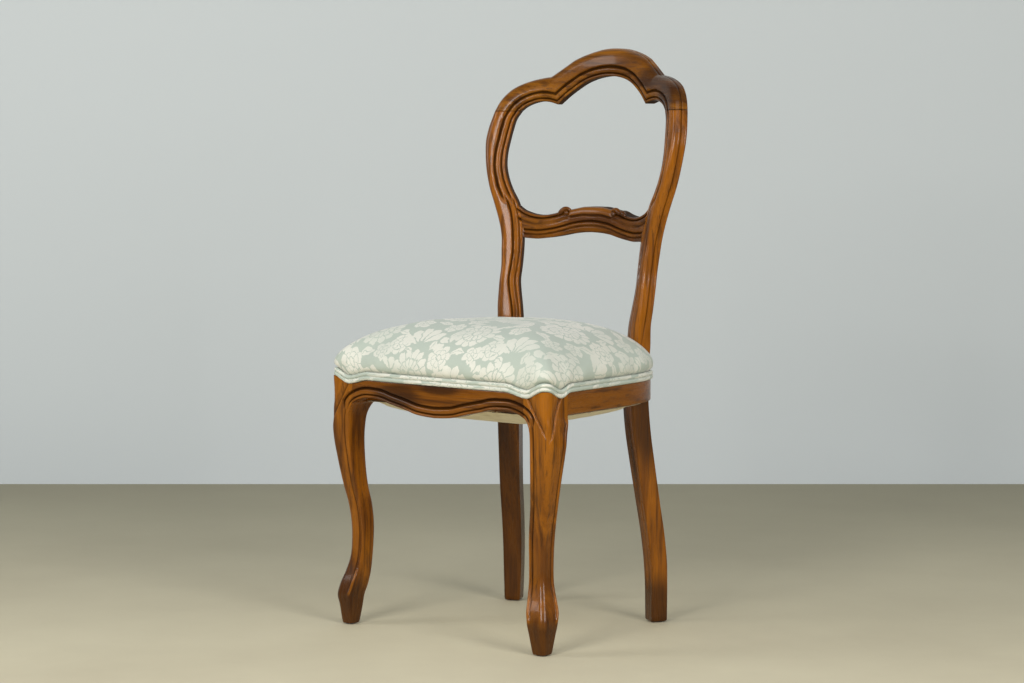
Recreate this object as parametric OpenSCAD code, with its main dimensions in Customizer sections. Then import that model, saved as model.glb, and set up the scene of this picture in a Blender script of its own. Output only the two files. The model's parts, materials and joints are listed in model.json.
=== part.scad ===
// Balloon back dining chair: a carved walnut frame with a sprung, upholstered seat.
// The floor is z = 0, the sitter faces -Y, and the origin is below the middle of the chair.

/* [Stance] */
// Distance between the centres of the front feet
front_stance = 420; // [405:1:435]
// Distance between the centres of the rear feet
rear_stance = 321; // [312:1:330]
// Distance from the front feet back to the rear feet
stance_depth = 349; // [335:1:365]
// Height of the show wood line, where the rails meet the upholstery
seat_line_h = 409; // [395:1:425]

/* [Front legs] */
// Width of the block at the top of a front leg
block_w = 45; // [42:1:48]
// Depth of the block at the top of a front leg
block_d = 54; // [50:1:58]
// How far the block's side stands outside the centre of the foot
block_out = 21; // [18:1:24]
// How far the block's face stands in front of the centre of the foot
block_front = 18; // [15:1:21]
// Largest width of the leg's section, at the knee
knee_w = 45; // [40:1:48]
// How far the ankle steps in behind the foot
ankle_set = 14; // [8:1:18]
// Dip of the wood's top line on each side of the knee
knee_dip = 8; // [4:1:10]
// Rise of the knee's corner above the show wood line
knee_rise = 4; // [0:1:5]

/* [Seat rails] */
// Height of the show face of the side and rear rails
rail_h = 35; // [31:1:40]
// Thickness of the side rails at the front
side_rail_t = 24; // [20:1:28]
// How much thicker the side rails are where they reach the posts
side_rail_swell = 26; // [22:1:30]
// Thickness of the carved face of the front rail
front_rail_t = 24; // [20:1:28]
// Thickness of the straight strip behind the carved face
front_strip_t = 16; // [14:1:20]
// Depth of the front rail at its middle, below the show wood line
front_rail_drop = 51; // [46:1:56]
// How far the front rail bows forward
front_bow = 5; // [2:1:8]
// Thickness of the rear rail
rear_rail_t = 22; // [18:1:24]
// How far the rear rail is set in from the backs of the posts
rear_set = 8.5; // [7:0.5:11]
// Height of the tacking edge above the show wood line
tack_edge_h = 12; // [9:1:14]
// How far the tacking edge is set back from the show face
rebate_d = 7; // [6:0.5:9]

/* [Back] */
// Height of the joints between the posts and the crest rail
joint_h = 848; // [820:1:870]
// Rise of the crest rail above those joints
crest_h = 105.5; // [95:0.5:115]
// Width of a post at the seat rails
post_w = 39.5; // [37:0.5:42]
// Depth of a post at the seat rails
post_d = 30; // [28:0.5:33]
// Angle by which the posts turn out to follow the curve of the back
post_turn = 28; // [25:1:31]
// How far the rear legs kick back from the rails to the floor
leg_kick = 38.5; // [30:0.5:45]
// How far the stiles lean back from the rails to the crest joints
back_lean = 66.7; // [55:0.1:75]
// How far the stiles swell outwards to form the balloon
balloon_swell = 35; // [28:1:40]
// Radius of the back in plan
back_radius = 335; // [320:1:360]
// Crown of the front faces of the stiles and the crest rail
face_crown = 4; // [2:0.5:5]
// Width of the small flats on the frame's edges
edge_flat = 2.5; // [1.5:0.5:3]
// Height of the mid rail over its crown
mid_rail_h = 57; // [50:1:60]

/* [Joints and blocks] */
// Diameter of the wooden dowels
dowel_d = 8; // [6:1:9]
// How far a dowel enters each piece
dowel_reach = 18; // [14:1:20]
// Distance between the dowels of a pair in a rail
dowel_gap = 14; // [12:1:16]
// Play round a dowel or a screw
fit_play = 0.1; // [0.05:0.05:0.15]
// Height of the corner blocks
corner_block_h = 26; // [22:1:28]
// How far the front corner blocks reach along the front rail
corner_block_reach = 45; // [40:1:50]
// Diameter of the corner block screws
screw_d = 4; // [3.5:0.5:4.5]
// Length of the corner block screws
screw_l = 30; // [26:1:32]
// Diameter of the screw heads
screw_head_d = 8; // [7:0.5:8.5]
// Thickness of the screw heads
screw_head_t = 3; // [2.5:0.5:3.5]

/* [Feet] */
// Diameter of the foot glides
glide_d = 15; // [12:1:18]
// Thickness of the foot glides
glide_t = 2; // [1.5:0.5:3]
// Diameter of the nail that holds a glide
nail_d = 2.5; // [2:0.5:3]
// Length of the nail that holds a glide
nail_l = 14; // [10:1:18]

/* [Seat] */
// Height of the seat's crown above the show wood line
crown_h = 97; // [85:1:105]
// How far the seat's sides stand proud of the rails
side_bulge = 4.5; // [3:0.5:7]
// Thickness of the cover with its wadding
cover_t = 3; // [2:0.5:4]
// Diameter of each cord of the double welt
welt_d = 7; // [6:0.5:7.5]
// Thickness of the spring canvas
canvas_t = 1; // [0.8:0.1:1.4]
// Rise of the spring canvas over the springs
canvas_rise = 34; // [30:1:40]
// Width of the webbing straps
strap_w = 50; // [45:1:55]
// Thickness of the webbing straps
strap_t = 1.5; // [1.2:0.1:2]
// Distance between the long straps
long_strap_gap = 88; // [80:1:90]
// Distance from the front legs back to the first cross strap
strap_clear = 16; // [12:1:20]
// Sag of the webbing under the springs
strap_sag = 12; // [8:1:14]
// Diameter of the spring wire
spring_wire_d = 3.8; // [3.4:0.2:4.2]
// Radius of the springs at their ends
spring_r = 34; // [30:1:36]
// Radius of the springs at the waist
spring_waist_r = 24; // [20:1:28]
// Turns of each spring
spring_turns = 4; // [3:1:5]
// Distance of the outer springs from the middle one, along the seat
spring_fore = 62; // [58:1:68]
// Thickness of the bottom cloth
cloth_t = 0.8; // [0.6:0.1:1.2]
// Sag of the bottom cloth below the rails
cloth_sag = 29; // [24:1:34]
// Diameter of the tack heads
tack_head_d = 7; // [6:0.5:8]
// Length of the tacks
tack_l = 8; // [7:0.5:10]

/* [Hidden] */

walnut = "#7a4520";
beech = "#c79a63";
damask = "#c9d3c0";
steel = "#8d9094";
jute = "#a88a5b";
calico = "#d9cfae";

round_fn = 48;
over = 1;
seat_gap = 0.3;

// Directions of a post in plan: straight back through it, and out across it
back_dir = [sin(post_turn), cos(post_turn)];
side_dir = [cos(post_turn), -sin(post_turn)];

function mix(a, b, t) = a + (b - a) * t;
function flip(p) = [-p[0], p[1], p[2]];

// Heights that several pieces share
rail_bottom = seat_line_h - rail_h;
tack_top = seat_line_h + tack_edge_h;

// Post outline, in shares: height, sweep back, outer edge, width, depth, crown
leg_shares = [
    [0, 0, 0.29, 0.71, 0.93, 0], [0.05, 0, 0.30, 0.74, 0.93, 0], [0.16, 0, 0.33, 0.81, 0.92, 0],
    [0.26, 0.05, 0.34, 0.84, 0.96, 0], [0.38, 0.18, 0.36, 0.87, 0.97, 0],
    [0.54, 0.44, 0.39, 0.90, 0.98, 0], [0.70, 0.69, 0.385, 0.93, 1.01, 0],
    [0.86, 0.91, 0.38, 0.97, 1.02, 0], [1, 1, 0.38, 1, 1, 0]];
lower_stile_shares = [
    [0, 0, 0, 1, 1, 0], [0.09, 0.09, 0.06, 1.06, 0.87, 0.5], [0.18, 0.157, 0.08, 1.09, 0.75, 1],
    [0.23, 0.21, 0.10, 1.05, 0.73, 1], [0.276, 0.255, 0.077, 0.96, 0.73, 1],
    [0.325, 0.30, 0.045, 0.89, 0.73, 1], [0.372, 0.345, -0.01, 0.89, 0.73, 1],
    [0.445, 0.412, 0, 0.95, 0.73, 1], [0.492, 0.457, 0.015, 0.965, 0.73, 1]];
upper_stile_shares = [
    [0.637, 0.60, 0.48, 1.08, 0.73, 1], [0.684, 0.655, 0.686, 0.98, 0.73, 1],
    [0.733, 0.712, 0.84, 0.905, 0.73, 1], [0.78, 0.76, 0.94, 0.89, 0.73, 1],
    [0.829, 0.814, 0.99, 0.945, 0.73, 1], [0.878, 0.867, 1, 1.05, 0.73, 1],
    [0.925, 0.919, 0.90, 1.08, 0.73, 1], [0.97, 0.967, 0.73, 1.085, 0.73, 1],
    [1, 1, 0.60, 1.19, 0.73, 1]];
stile_shares = concat(lower_stile_shares, upper_stile_shares);
foot_share = 0.47;

// A post station: height, sweep back, outer edge, inner edge, depth, crown
function station(z, back, out, width, deep, crown) = [z, back, out, out - width, deep, crown];
foot_back = -post_d * foot_share;
rail_back = foot_back - leg_kick;
post_out = post_w * leg_shares[len(leg_shares) - 1][2];
post_stations = concat(
    [for (s = leg_shares) station(mix(glide_t, rail_bottom, s[0]), foot_back - leg_kick * s[1],
        post_w * s[2], post_w * s[3], post_d * s[4], face_crown * s[5])],
    [for (s = stile_shares) station(mix(tack_top, joint_h, s[0]), rail_back + back_lean * s[1],
        post_out + balloon_swell * s[2], post_w * s[3], post_d * s[4], face_crown * s[5])]);
joint_station = post_stations[len(post_stations) - 1];
mid_station_low = post_stations[len(leg_shares) + len(lower_stile_shares) - 1];
mid_station_high = post_stations[len(leg_shares) + len(lower_stile_shares)];
stile_d = joint_station[4];

// Offset in plan from the centre of the rear foot
function in_plan(back, out) = back * back_dir + out * side_dir;

// The back's front face is a cylinder about a vertical axis, raked in the crest rail
joint_offset = in_plan(joint_station[1], joint_station[2]);
joint_x = rear_stance / 2 + joint_offset[0];
crest_rake_share = 0.18;
crest_bow = joint_x * joint_x / (2 * back_radius);
lean_reach = joint_offset[1] + crest_bow + crest_h * crest_rake_share + stile_d;
front_reach = block_front + front_bow + side_bulge;

// Centres of the feet
front_foot = [front_stance / 2, -(stance_depth + lean_reach - front_reach) / 2];
rear_foot = [rear_stance / 2, front_foot[1] + stance_depth];

function post_point(s, back, out, z) = let(p = rear_foot + in_plan(s[1] + back, out)) [p[0], p[1], z];

// Cross-section of a post or the crest rail between its inner and outer arris
crown_shares = [[0.3, 0.75], [0.58, 1], [0.9, 0.4]];
side_share = 0.28;
function section(inner, outer, dir, deep, crown, grow = 0) =
    let(
        wide = norm(outer - inner),
        along = (outer - inner) / wide,
        back = [dir[0], dir[1], 0],
        open = crown / face_crown,
        flat = edge_flat,
        front = mix(flat, deep * side_share, open),
        at = function(s, r) inner + along * s + back * r)
    [
        at(wide + grow, front),
        at(wide + grow, deep - flat + grow),
        at(wide - flat + grow, deep + grow),
        at(flat - grow, deep + grow),
        at(-grow, deep - flat + grow),
        at(-grow, flat),
        at(mix(flat, wide * crown_shares[0][0], open), -crown * crown_shares[0][1] - grow),
        at(wide * crown_shares[1][0], -crown * crown_shares[1][1] - grow),
        at(mix(wide - flat, wide * crown_shares[2][0], open), -crown * crown_shares[2][1] - grow)
    ];
function post_section(s, grow = 0) =
    section(post_point(s, 0, s[3], s[0]), post_point(s, 0, s[2], s[0]), back_dir, s[4], s[5], grow);

// Closed solid through rings of as many points each, capped at both ends
module loft(rings) {
    n = len(rings[0]);
    m = len(rings);
    last = (m - 1) * n;
    polyhedron(
        points = [for (r = rings) each r],
        faces = concat(
            [for (i = [0:m - 2], j = [0:n - 1]) let(k = (j + 1) % n)
                [(i + 1) * n + k, i * n + k, i * n + j]],
            [for (i = [0:m - 2], j = [0:n - 1]) let(k = (j + 1) % n)
                [(i + 1) * n + j, (i + 1) * n + k, i * n + j]],
            [for (j = [1:n - 2]) [0, j, j + 1]],
            [for (j = [1:n - 2]) [last, last + j + 1, last + j]]),
        convexity = 6);
}

// Closed sheet between an upper and a lower surface, each given as rings and a middle point
module sheet(upper, upper_mid, lower, lower_mid) {
    n = len(upper[0]);
    u = len(upper);
    l = len(lower);
    low = u * n;
    top = (u + l) * n;
    polyhedron(
        points = concat([for (r = upper) each r], [for (r = lower) each r], [upper_mid, lower_mid]),
        faces = concat(
            [for (i = [0:u - 2], j = [0:n - 1]) let(k = (j + 1) % n)
                [(i + 1) * n + k, i * n + k, i * n + j]],
            [for (i = [0:u - 2], j = [0:n - 1]) let(k = (j + 1) % n)
                [(i + 1) * n + j, (i + 1) * n + k, i * n + j]],
            [for (j = [0:n - 1]) [top, (u - 1) * n + (j + 1) % n, (u - 1) * n + j]],
            [for (i = [0:l - 2], j = [0:n - 1]) let(k = (j + 1) % n)
                [low + i * n + j, low + i * n + k, low + (i + 1) * n + k]],
            [for (i = [0:l - 2], j = [0:n - 1]) let(k = (j + 1) % n)
                [low + i * n + j, low + (i + 1) * n + k, low + (i + 1) * n + j]],
            [for (j = [0:n - 1]) [top + 1, low + (l - 1) * n + j, low + (l - 1) * n + (j + 1) % n]],
            [for (j = [0:n - 1]) [j, (j + 1) % n, low + (j + 1) % n]],
            [for (j = [0:n - 1]) [j, low + (j + 1) % n, low + j]]),
        convexity = 6);
}

// Both sides of something that is built on the right
module pair() {
    children();
    mirror([1, 0, 0]) children();
}

// A round bar from one point towards another direction, both ways for a dowel
module bar(from, dir, length, d) {
    turn = atan2(dir[1], dir[0]);
    tilt = acos(dir[2] / norm(dir));
    translate(from) rotate([0, tilt, turn]) cylinder(h = length, d = d, $fn = round_fn);
}
module dowel(at, dir, play = 0) {
    unit = dir / norm(dir);
    bar(at - unit * (dowel_reach + play), unit, 2 * (dowel_reach + play), dowel_d + 2 * play);
}

// Front leg: the block's box and the outline below it
block_lo = [front_foot[0] + block_out - block_w, front_foot[1] - block_front];
block_hi = [front_foot[0] + block_out, front_foot[1] - block_front + block_d];
front_rail_shares = [[0, 1], [0.11, 0.98], [0.215, 0.94], [0.35, 0.82], [0.54, 0.68], [0.63, 0.59],
    [0.75, 0.57], [0.86, 0.57], [0.915, 0.63], [0.96, 0.71], [1, 0.765]];
block_bottom = seat_line_h - front_rail_drop * front_rail_shares[len(front_rail_shares) - 1][1];

// Cabriole outline, in shares: height, width, depth, and the centre's place out and forward
cabriole_shares = [
    [0, 0.49, 0.49, 0, 0], [0.035, 0.573, 0.573, 0, 0], [0.084, 0.68, 0.68, 0, 0],
    [0.125, 0.776, 0.776, 0.03, 0.03], [0.174, 0.811, 0.811, -0.2, -0.24],
    [0.232, 0.736, 0.736, -0.57, -0.6], [0.297, 0.644, 0.644, -0.87, -0.87],
    [0.378, 0.631, 0.631, -1, -1], [0.46, 0.653, 0.653, -0.97, -1],
    [0.539, 0.678, 0.678, -0.72, -0.87], [0.62, 0.707, 0.707, -0.27, -0.6],
    [0.734, 0.79, 0.79, 0.19, -0.35], [0.865, 0.887, 0.93, 0.56, -0.27],
    [0.93, 0.973, 1.02, 0.46, -0.39], [0.979, 0.933, 1.155, 0.286, -0.571]];
// Corners of the leg's section, in shares of half its sides: out, and forward
leg_section_shares = [[1, 0.45], [1, -0.5], [1, -0.8], [0.8, -1], [-0.8, -1], [-1, -0.8], [-1, 0.8],
    [-0.8, 1], [-0.5, 1], [0.45, 1], [0.82, 0.82]];
block_section_shares = [[1, 0.45], [1, -0.5], [1, -0.99], [0.99, -1], [-0.99, -1], [-1, -0.99],
    [-1, 0.99], [-0.99, 1], [-0.5, 1], [0.45, 1], [0.82, 0.82]];
knee_top = [-knee_dip / 5, -knee_dip, 0, 0, -knee_dip / 2, -knee_dip / 2, -knee_dip / 2, -knee_dip / 2,
    -knee_dip, -knee_dip / 5, knee_rise];
function leg_ring(lo, hi, z, shares, lift) =
    let(mid = (lo + hi) / 2, half = (hi - lo) / 2)
    [for (k = [0:len(shares) - 1])
        [mid[0] + half[0] * shares[k][0], mid[1] - half[1] * shares[k][1], z + lift[k]]];
level = [for (k = leg_section_shares) 0];
function cabriole_ring(s) =
    let(
        half = [knee_w * s[1] / 2, knee_w * s[2] / 2],
        mid = [front_foot[0] + ankle_set * s[3], front_foot[1] - ankle_set * s[4]])
    leg_ring(mid - half, mid + half, mix(glide_t, block_bottom, s[0]), leg_section_shares, level);

rebate_lo = [block_lo[0], block_lo[1] + rebate_d];
rebate_hi = [block_hi[0] - rebate_d, block_hi[1]];
ledge_share = 0.97;
arc_r = block_w * 0.31;
arc_mid = [block_hi[0] - arc_r, block_lo[1] + arc_r];
function ledge_point(p) =
    let(mid = (block_lo + block_hi) / 2, q = [min(p[0], rebate_hi[0]), max(p[1], rebate_lo[1])])
    [mix(mid[0], q[0], ledge_share), mix(mid[1], q[1], ledge_share), p[2] - seat_gap];
module leg_solid() {
    top_ring = leg_ring(block_lo, block_hi, seat_line_h, block_section_shares, knee_top);
    loft(concat([for (s = cabriole_shares) cabriole_ring(s)],
        [leg_ring(block_lo, block_hi, block_bottom, block_section_shares, level), top_ring,
        [for (p = top_ring) ledge_point(p)]]));
    translate([0, 0, seat_line_h - knee_dip]) linear_extrude(knee_dip + tack_edge_h)
        polygon(concat([rebate_lo], [for (k = [0:4]) let(a = 90 * k / 4, r = arc_r - rebate_d)
            [arc_mid[0] + r * sin(a), arc_mid[1] - r * cos(a)]],
            [rebate_hi, [block_lo[0], block_hi[1]]]));
}

// Places of the dowels
rail_dowel_z = [rail_bottom + rail_h / 2 - dowel_gap / 2, rail_bottom + rail_h / 2 + dowel_gap / 2];
front_dowel_y = block_lo[1] + front_rail_t / 2;
side_dowel_x = block_hi[0] - side_rail_t / 2;
post_dowel_back_share = 0.4;
rear_dowel_back_share = 0.5;
module front_rail_dowel_set(play = 0) {
    for (z = rail_dowel_z) dowel([block_lo[0], front_dowel_y, z], [1, 0, 0], play);
}
module side_front_dowel_set(play = 0) {
    for (z = rail_dowel_z) dowel([side_dowel_x, block_hi[1], z], [0, 1, 0], play);
}
module side_rear_dowel_set(play = 0) {
    s = post_stations[len(leg_shares) - 1];
    for (z = rail_dowel_z)
        dowel(post_point(s, post_d * post_dowel_back_share, s[2], z), [side_dir[0], side_dir[1], 0], play);
}
rear_rail_back_y = post_point(joint_station, 0, 0, 0)[1];
rail_station = post_stations[len(leg_shares) - 1];
post_inner_front = post_point(rail_station, 0, rail_station[3], 0);
post_inner_back = post_point(rail_station, post_d, rail_station[3], 0);
post_outer_front = post_point(rail_station, 0, rail_station[2], 0);
post_outer_back = post_point(rail_station, post_d, rail_station[2], 0);
post_back_dir = [back_dir[0], back_dir[1], 0];
function on_inner_face(y) = post_inner_front[0] + (y - post_inner_front[1]) * tan(post_turn);
rear_y_hi = post_inner_back[1] - rear_set;
rear_y_lo = rear_y_hi - rear_rail_t;
rear_dowel_y = mix(rear_y_lo, rear_y_hi, rear_dowel_back_share);
module rear_dowel_set(play = 0) {
    for (z = rail_dowel_z) dowel([on_inner_face(rear_dowel_y), rear_dowel_y, z], [1, 0, 0], play);
}
crest_dowel_shares = [0.36, 0.62];
module crest_dowel_set(play = 0) {
    for (s = crest_dowel_shares)
        dowel(post_point(joint_station, stile_d / 2,
            mix(joint_station[3], joint_station[2], s), joint_h), [0, 0, 1], play);
}

// Inner face of a post where the mid rail meets it
function mid_seat(z) =
    let(t = (z - mid_station_low[0]) / (mid_station_high[0] - mid_station_low[0]))
    post_point([0, mix(mid_station_low[1], mid_station_high[1], t)], 0,
        mix(mid_station_low[3], mid_station_high[3], t), z);
mid_base = mid_station_low[0];
mid_dowel_shares = [0.28, 0.66];
module mid_dowel_set(play = 0) {
    for (s = mid_dowel_shares)
        dowel(mid_seat(mid_base + mid_rail_h * s) + post_back_dir * stile_d / 2,
            [side_dir[0], side_dir[1], 0], play);
}

module post_solid() {
    difference() {
        loft([for (s = post_stations) post_section(s)]);
        glide_nail(rear_glide, fit_play);
        crest_dowel_set(fit_play);
        mid_dowel_set(fit_play);
        side_rear_dowel_set(fit_play);
        rear_dowel_set(fit_play);
    }
}
module back_post_right() { color(walnut) post_solid(); }
module back_post_left() { color(walnut) mirror([1, 0, 0]) post_solid(); }

// Crest outline, in shares: outer point across and up, inner point across and up
crest_shares = [
    [0.966, 0.161, 0.754, 0.066], [0.925, 0.276, 0.719, 0.104], [0.87, 0.373, 0.674, 0.137],
    [0.80, 0.446, 0.628, 0.154], [0.723, 0.498, 0.591, 0.153], [0.649, 0.531, 0.543, 0.14],
    [0.576, 0.553, 0.481, 0.104], [0.49, 0.671, 0.395, 0.259], [0.427, 0.758, 0.332, 0.351],
    [0.372, 0.828, 0.272, 0.427], [0.282, 0.90, 0.216, 0.479], [0.19, 0.953, 0.151, 0.519],
    [0.096, 0.989, 0.075, 0.546], [0, 1, 0, 0.555]];
function crest_point(across, up) =
    let(x = joint_x * across)
    [x, rear_foot[1] + joint_offset[1] + crest_bow - x * x / (2 * back_radius)
        + crest_h * up * crest_rake_share, joint_h + crest_h * up];
function crest_ring(s) =
    let(turn = post_turn * (s[0] + s[2]) / (1 + crest_shares[0][2]))
    section(crest_point(s[2], s[3]), crest_point(s[0], s[1]), [sin(turn), cos(turn)], stile_d, face_crown);
crest_half = concat([post_section(joint_station)], [for (s = crest_shares) crest_ring(s)]);
module crest_rail() {
    n = len(crest_half);
    color(walnut) difference() {
        loft(concat(crest_half, [for (i = [1:n - 1]) [for (p = crest_half[n - 1 - i]) flip(p)]]));
        pair() crest_dowel_set(fit_play);
    }
}

// Mid rail outline, in shares: place along the rail, lower edge, upper edge
mid_rail_shares = [[0, 0.21, 0.965], [0.15, 0.195, 0.953], [0.28, 0.165, 0.895], [0.34, 0.145, 0.868],
    [0.4, 0.115, 0.912], [0.45, 0.09, 0.895], [0.52, 0.06, 0.79], [0.6, 0.03, 0.728],
    [0.7, 0, 0.693], [0.8, -0.02, 0.70], [0.9, -0.01, 0.77], [1, 0.02, 0.93]];
mid_face_shares = [0.75, 0.35];
mid_crown_shares = [1, 0.6];
function mid_point(s, z, back) =
    let(
        seat = mid_seat(z),
        x = seat[0] * s,
        turn = post_turn * s)
    [x + back * sin(turn), seat[1] + (seat[0] * seat[0] - x * x) / (2 * back_radius) + back * cos(turn), z];
function mid_ring(s) =
    let(
        lo = mid_base + mid_rail_h * s[1],
        hi = mid_base + mid_rail_h * s[2],
        proud = face_crown * (1 - s[0] * s[0]))
    [mid_point(s[0], lo, edge_flat), mid_point(s[0], lo, stile_d - edge_flat),
        mid_point(s[0], lo + edge_flat, stile_d), mid_point(s[0], hi - edge_flat, stile_d),
        mid_point(s[0], hi, stile_d - edge_flat), mid_point(s[0], hi, edge_flat),
        mid_point(s[0], mix(lo, hi, mid_face_shares[0]), -proud * mid_crown_shares[0]),
        mid_point(s[0], mix(lo, hi, mid_face_shares[1]), -proud * mid_crown_shares[1])];
module mid_rail() {
    n = len(mid_rail_shares);
    half = [for (s = mid_rail_shares) mid_ring(s)];
    color(walnut) difference() {
        loft(concat([for (i = [1:n - 1]) [for (p = half[n - i]) flip(p)]], half));
        pair() mid_dowel_set(fit_play);
    }
}

module leg_with_holes() {
    difference() {
        leg_solid();
        front_rail_dowel_set(fit_play);
        side_front_dowel_set(fit_play);
        glide_nail(front_foot, fit_play);
    }
}
module front_leg_right() { color(walnut) leg_with_holes(); }
module front_leg_left() { color(walnut) mirror([1, 0, 0]) leg_with_holes(); }

// Front rail: a carved board over a straight strip, both cut to the bow of the front
bow_steps = 6;
bow_edge = [for (k = [-bow_steps:bow_steps]) let(t = k / bow_steps)
    [block_lo[0] * t, block_lo[1] - front_bow * (1 - t * t)]];
front_board_back = block_lo[1] + front_rail_t;
front_strip_back = front_board_back + front_strip_t;
module front_plan(set_in) {
    polygon(concat([for (p = bow_edge) [p[0], p[1] + set_in]],
        [[block_lo[0], front_strip_back], [-block_lo[0], front_strip_back]]));
}
module front_rail() {
    ends = front_rail_shares[len(front_rail_shares) - 1];
    outline = [for (s = front_rail_shares)
        [block_lo[0] * s[0], seat_line_h - front_rail_drop * s[1]]];
    n = len(outline);
    top_fall_x = block_lo[0] * front_rail_shares[6][0];
    color(walnut) difference() {
        union() {
            intersection() {
                translate([0, 0, seat_line_h - front_rail_drop - over])
                    linear_extrude(front_rail_drop + over + over) front_plan(0);
                translate([0, front_board_back, 0]) rotate([90, 0, 0])
                    linear_extrude(front_rail_t + front_bow + over)
                    polygon(concat(outline,
                        [[block_lo[0], seat_line_h - knee_dip / 2], [top_fall_x, seat_line_h],
                        [-top_fall_x, seat_line_h], [-block_lo[0], seat_line_h - knee_dip / 2]],
                        [for (i = [1:n - 1]) [-outline[n - i][0], outline[n - i][1]]]));
            }
            translate([-block_lo[0], front_board_back, rail_bottom])
                cube([2 * block_lo[0], front_strip_t, rail_h + tack_edge_h]);
            translate([0, 0, seat_line_h - knee_dip])
                linear_extrude(knee_dip + tack_edge_h) front_plan(rebate_d);
        }
        pair() front_rail_dowel_set(fit_play);
        pair() front_block_screw_set(fit_play);
        long_tack_set(fit_play);
        front_cloth_tack_set(fit_play);
    }
}

// Side rails: the outer line runs in gently, then bends round to the back of the post
side_run_share = 0.58;
side_bend = 8;
function side_curve(t) = side_run_share * t + (1 - side_run_share) * pow(t, side_bend);
side_end_out_share = 0.35;
side_end = [post_outer_back[0] + post_out * side_end_out_share, post_outer_back[1] - edge_flat];
function side_y(t) = mix(block_hi[1], side_end[1], t);
function side_outer(t) = [mix(block_hi[0], side_end[0], side_curve(t)), side_y(t)];
function side_inner(t) =
    [block_hi[0] - side_rail_t - (block_hi[0] - side_end[0] + side_rail_swell) * side_curve(t), side_y(t)];
side_steps_shares = [0, 0.15, 0.3, 0.45, 0.6, 0.72, 0.82, 0.9, 0.95, 1];
inner_steps = 7;
inner_end_share = 0.43;
side_inner_end = [mix(post_outer_front[0], post_inner_front[0], inner_end_share),
    mix(post_outer_front[1], post_inner_front[1], inner_end_share) + edge_flat];
function side_normal(t) =
    let(e = side_steps_shares[1] / side_bend, d = side_outer(t + e) - side_outer(t - e))
    [d[1], -d[0]] / norm(d);
function side_set_in(t, off) =
    let(p = side_outer(t) + off * side_normal(t)) [p[0], max(p[1], block_hi[1])];
side_inner_line = [for (k = [0:inner_steps]) side_inner(side_steps_shares[inner_steps - k])];
tack_end_share = 0.3;
tack_end = [mix(post_outer_front[0], post_outer_back[0], tack_end_share),
    mix(post_outer_front[1], post_outer_back[1], tack_end_share)];
module post_plan() {
    polygon([for (p = post_section(rail_station)) [p[0], p[1]]]);
}
module side_rail_solid() {
    difference() {
        union() {
            translate([0, 0, rail_bottom]) linear_extrude(rail_h)
                polygon(concat([for (t = side_steps_shares) side_outer(t)],
                    [[post_outer_back[0], post_outer_back[1] - edge_flat]], [side_inner_end],
                    side_inner_line));
            translate([0, 0, seat_line_h - over]) linear_extrude(tack_edge_h + over)
                polygon(concat([for (k = [0:inner_steps]) side_set_in(side_steps_shares[k], -rebate_d)],
                    [tack_end, side_inner_end], side_inner_line));
        }
        translate([0, 0, rail_bottom - over]) linear_extrude(rail_h + tack_edge_h + 2 * over) post_plan();
        side_front_dowel_set(fit_play);
        side_rear_dowel_set(fit_play);
        front_block_side_screw(fit_play);
        rear_block_side_screw(fit_play);
        cross_tack_set(fit_play);
        side_cloth_tack_set(fit_play);
    }
}
module side_rail_right() { color(walnut) side_rail_solid(); }
module side_rail_left() { color(walnut) mirror([1, 0, 0]) side_rail_solid(); }

// Rear rail, straight between the inner faces of the posts
module rear_plan(set_in) {
    half = [[on_inner_face(rear_y_lo), rear_y_lo], [on_inner_face(rear_y_hi - set_in), rear_y_hi - set_in]];
    polygon([half[0], half[1], [-half[1][0], half[1][1]], [-half[0][0], half[0][1]]]);
}
module rear_rail() {
    color(walnut) difference() {
        union() {
            translate([0, 0, rail_bottom]) linear_extrude(rail_h) rear_plan(0);
            translate([0, 0, seat_line_h - over]) linear_extrude(tack_edge_h + over) rear_plan(rebate_d);
        }
        pair() rear_dowel_set(fit_play);
        pair() rear_block_rail_screw(fit_play);
        long_tack_set(fit_play);
        rear_cloth_tack_set(fit_play);
    }
}

// Corner blocks, glued and screwed into the four corners of the seat frame
corner_block_z = rail_bottom + (rail_h - corner_block_h) / 2;
screw_z = corner_block_z + corner_block_h / 2;
front_block_side = side_inner(side_steps_shares[1]);
front_block_front = [block_lo[0] - corner_block_reach, front_strip_back];
rear_block_side = side_inner(side_steps_shares[5]);
rear_block_rear = [post_inner_front[0] - corner_block_reach * 0.8, rear_y_lo];
function cross_y(a, b, x) = mix(a[1], b[1], (x - a[0]) / (b[0] - a[0]));
function cross_x(a, b, y) = mix(a[0], b[0], (y - a[1]) / (b[1] - a[1]));
screw_seat = screw_head_t + screw_d;
front_screw_x = mix(front_block_front[0], block_lo[0], 0.5);
side_screw_y = mix(block_hi[1], front_block_side[1], 0.5);
rear_screw_x = mix(rear_block_rear[0], on_inner_face(rear_y_lo), 0.6);
rear_side_screw_y = mix(rear_block_side[1], side_inner_end[1], 0.4);
function side_share_at(y) = (y - block_hi[1]) / (side_end[1] - block_hi[1]);

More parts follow.
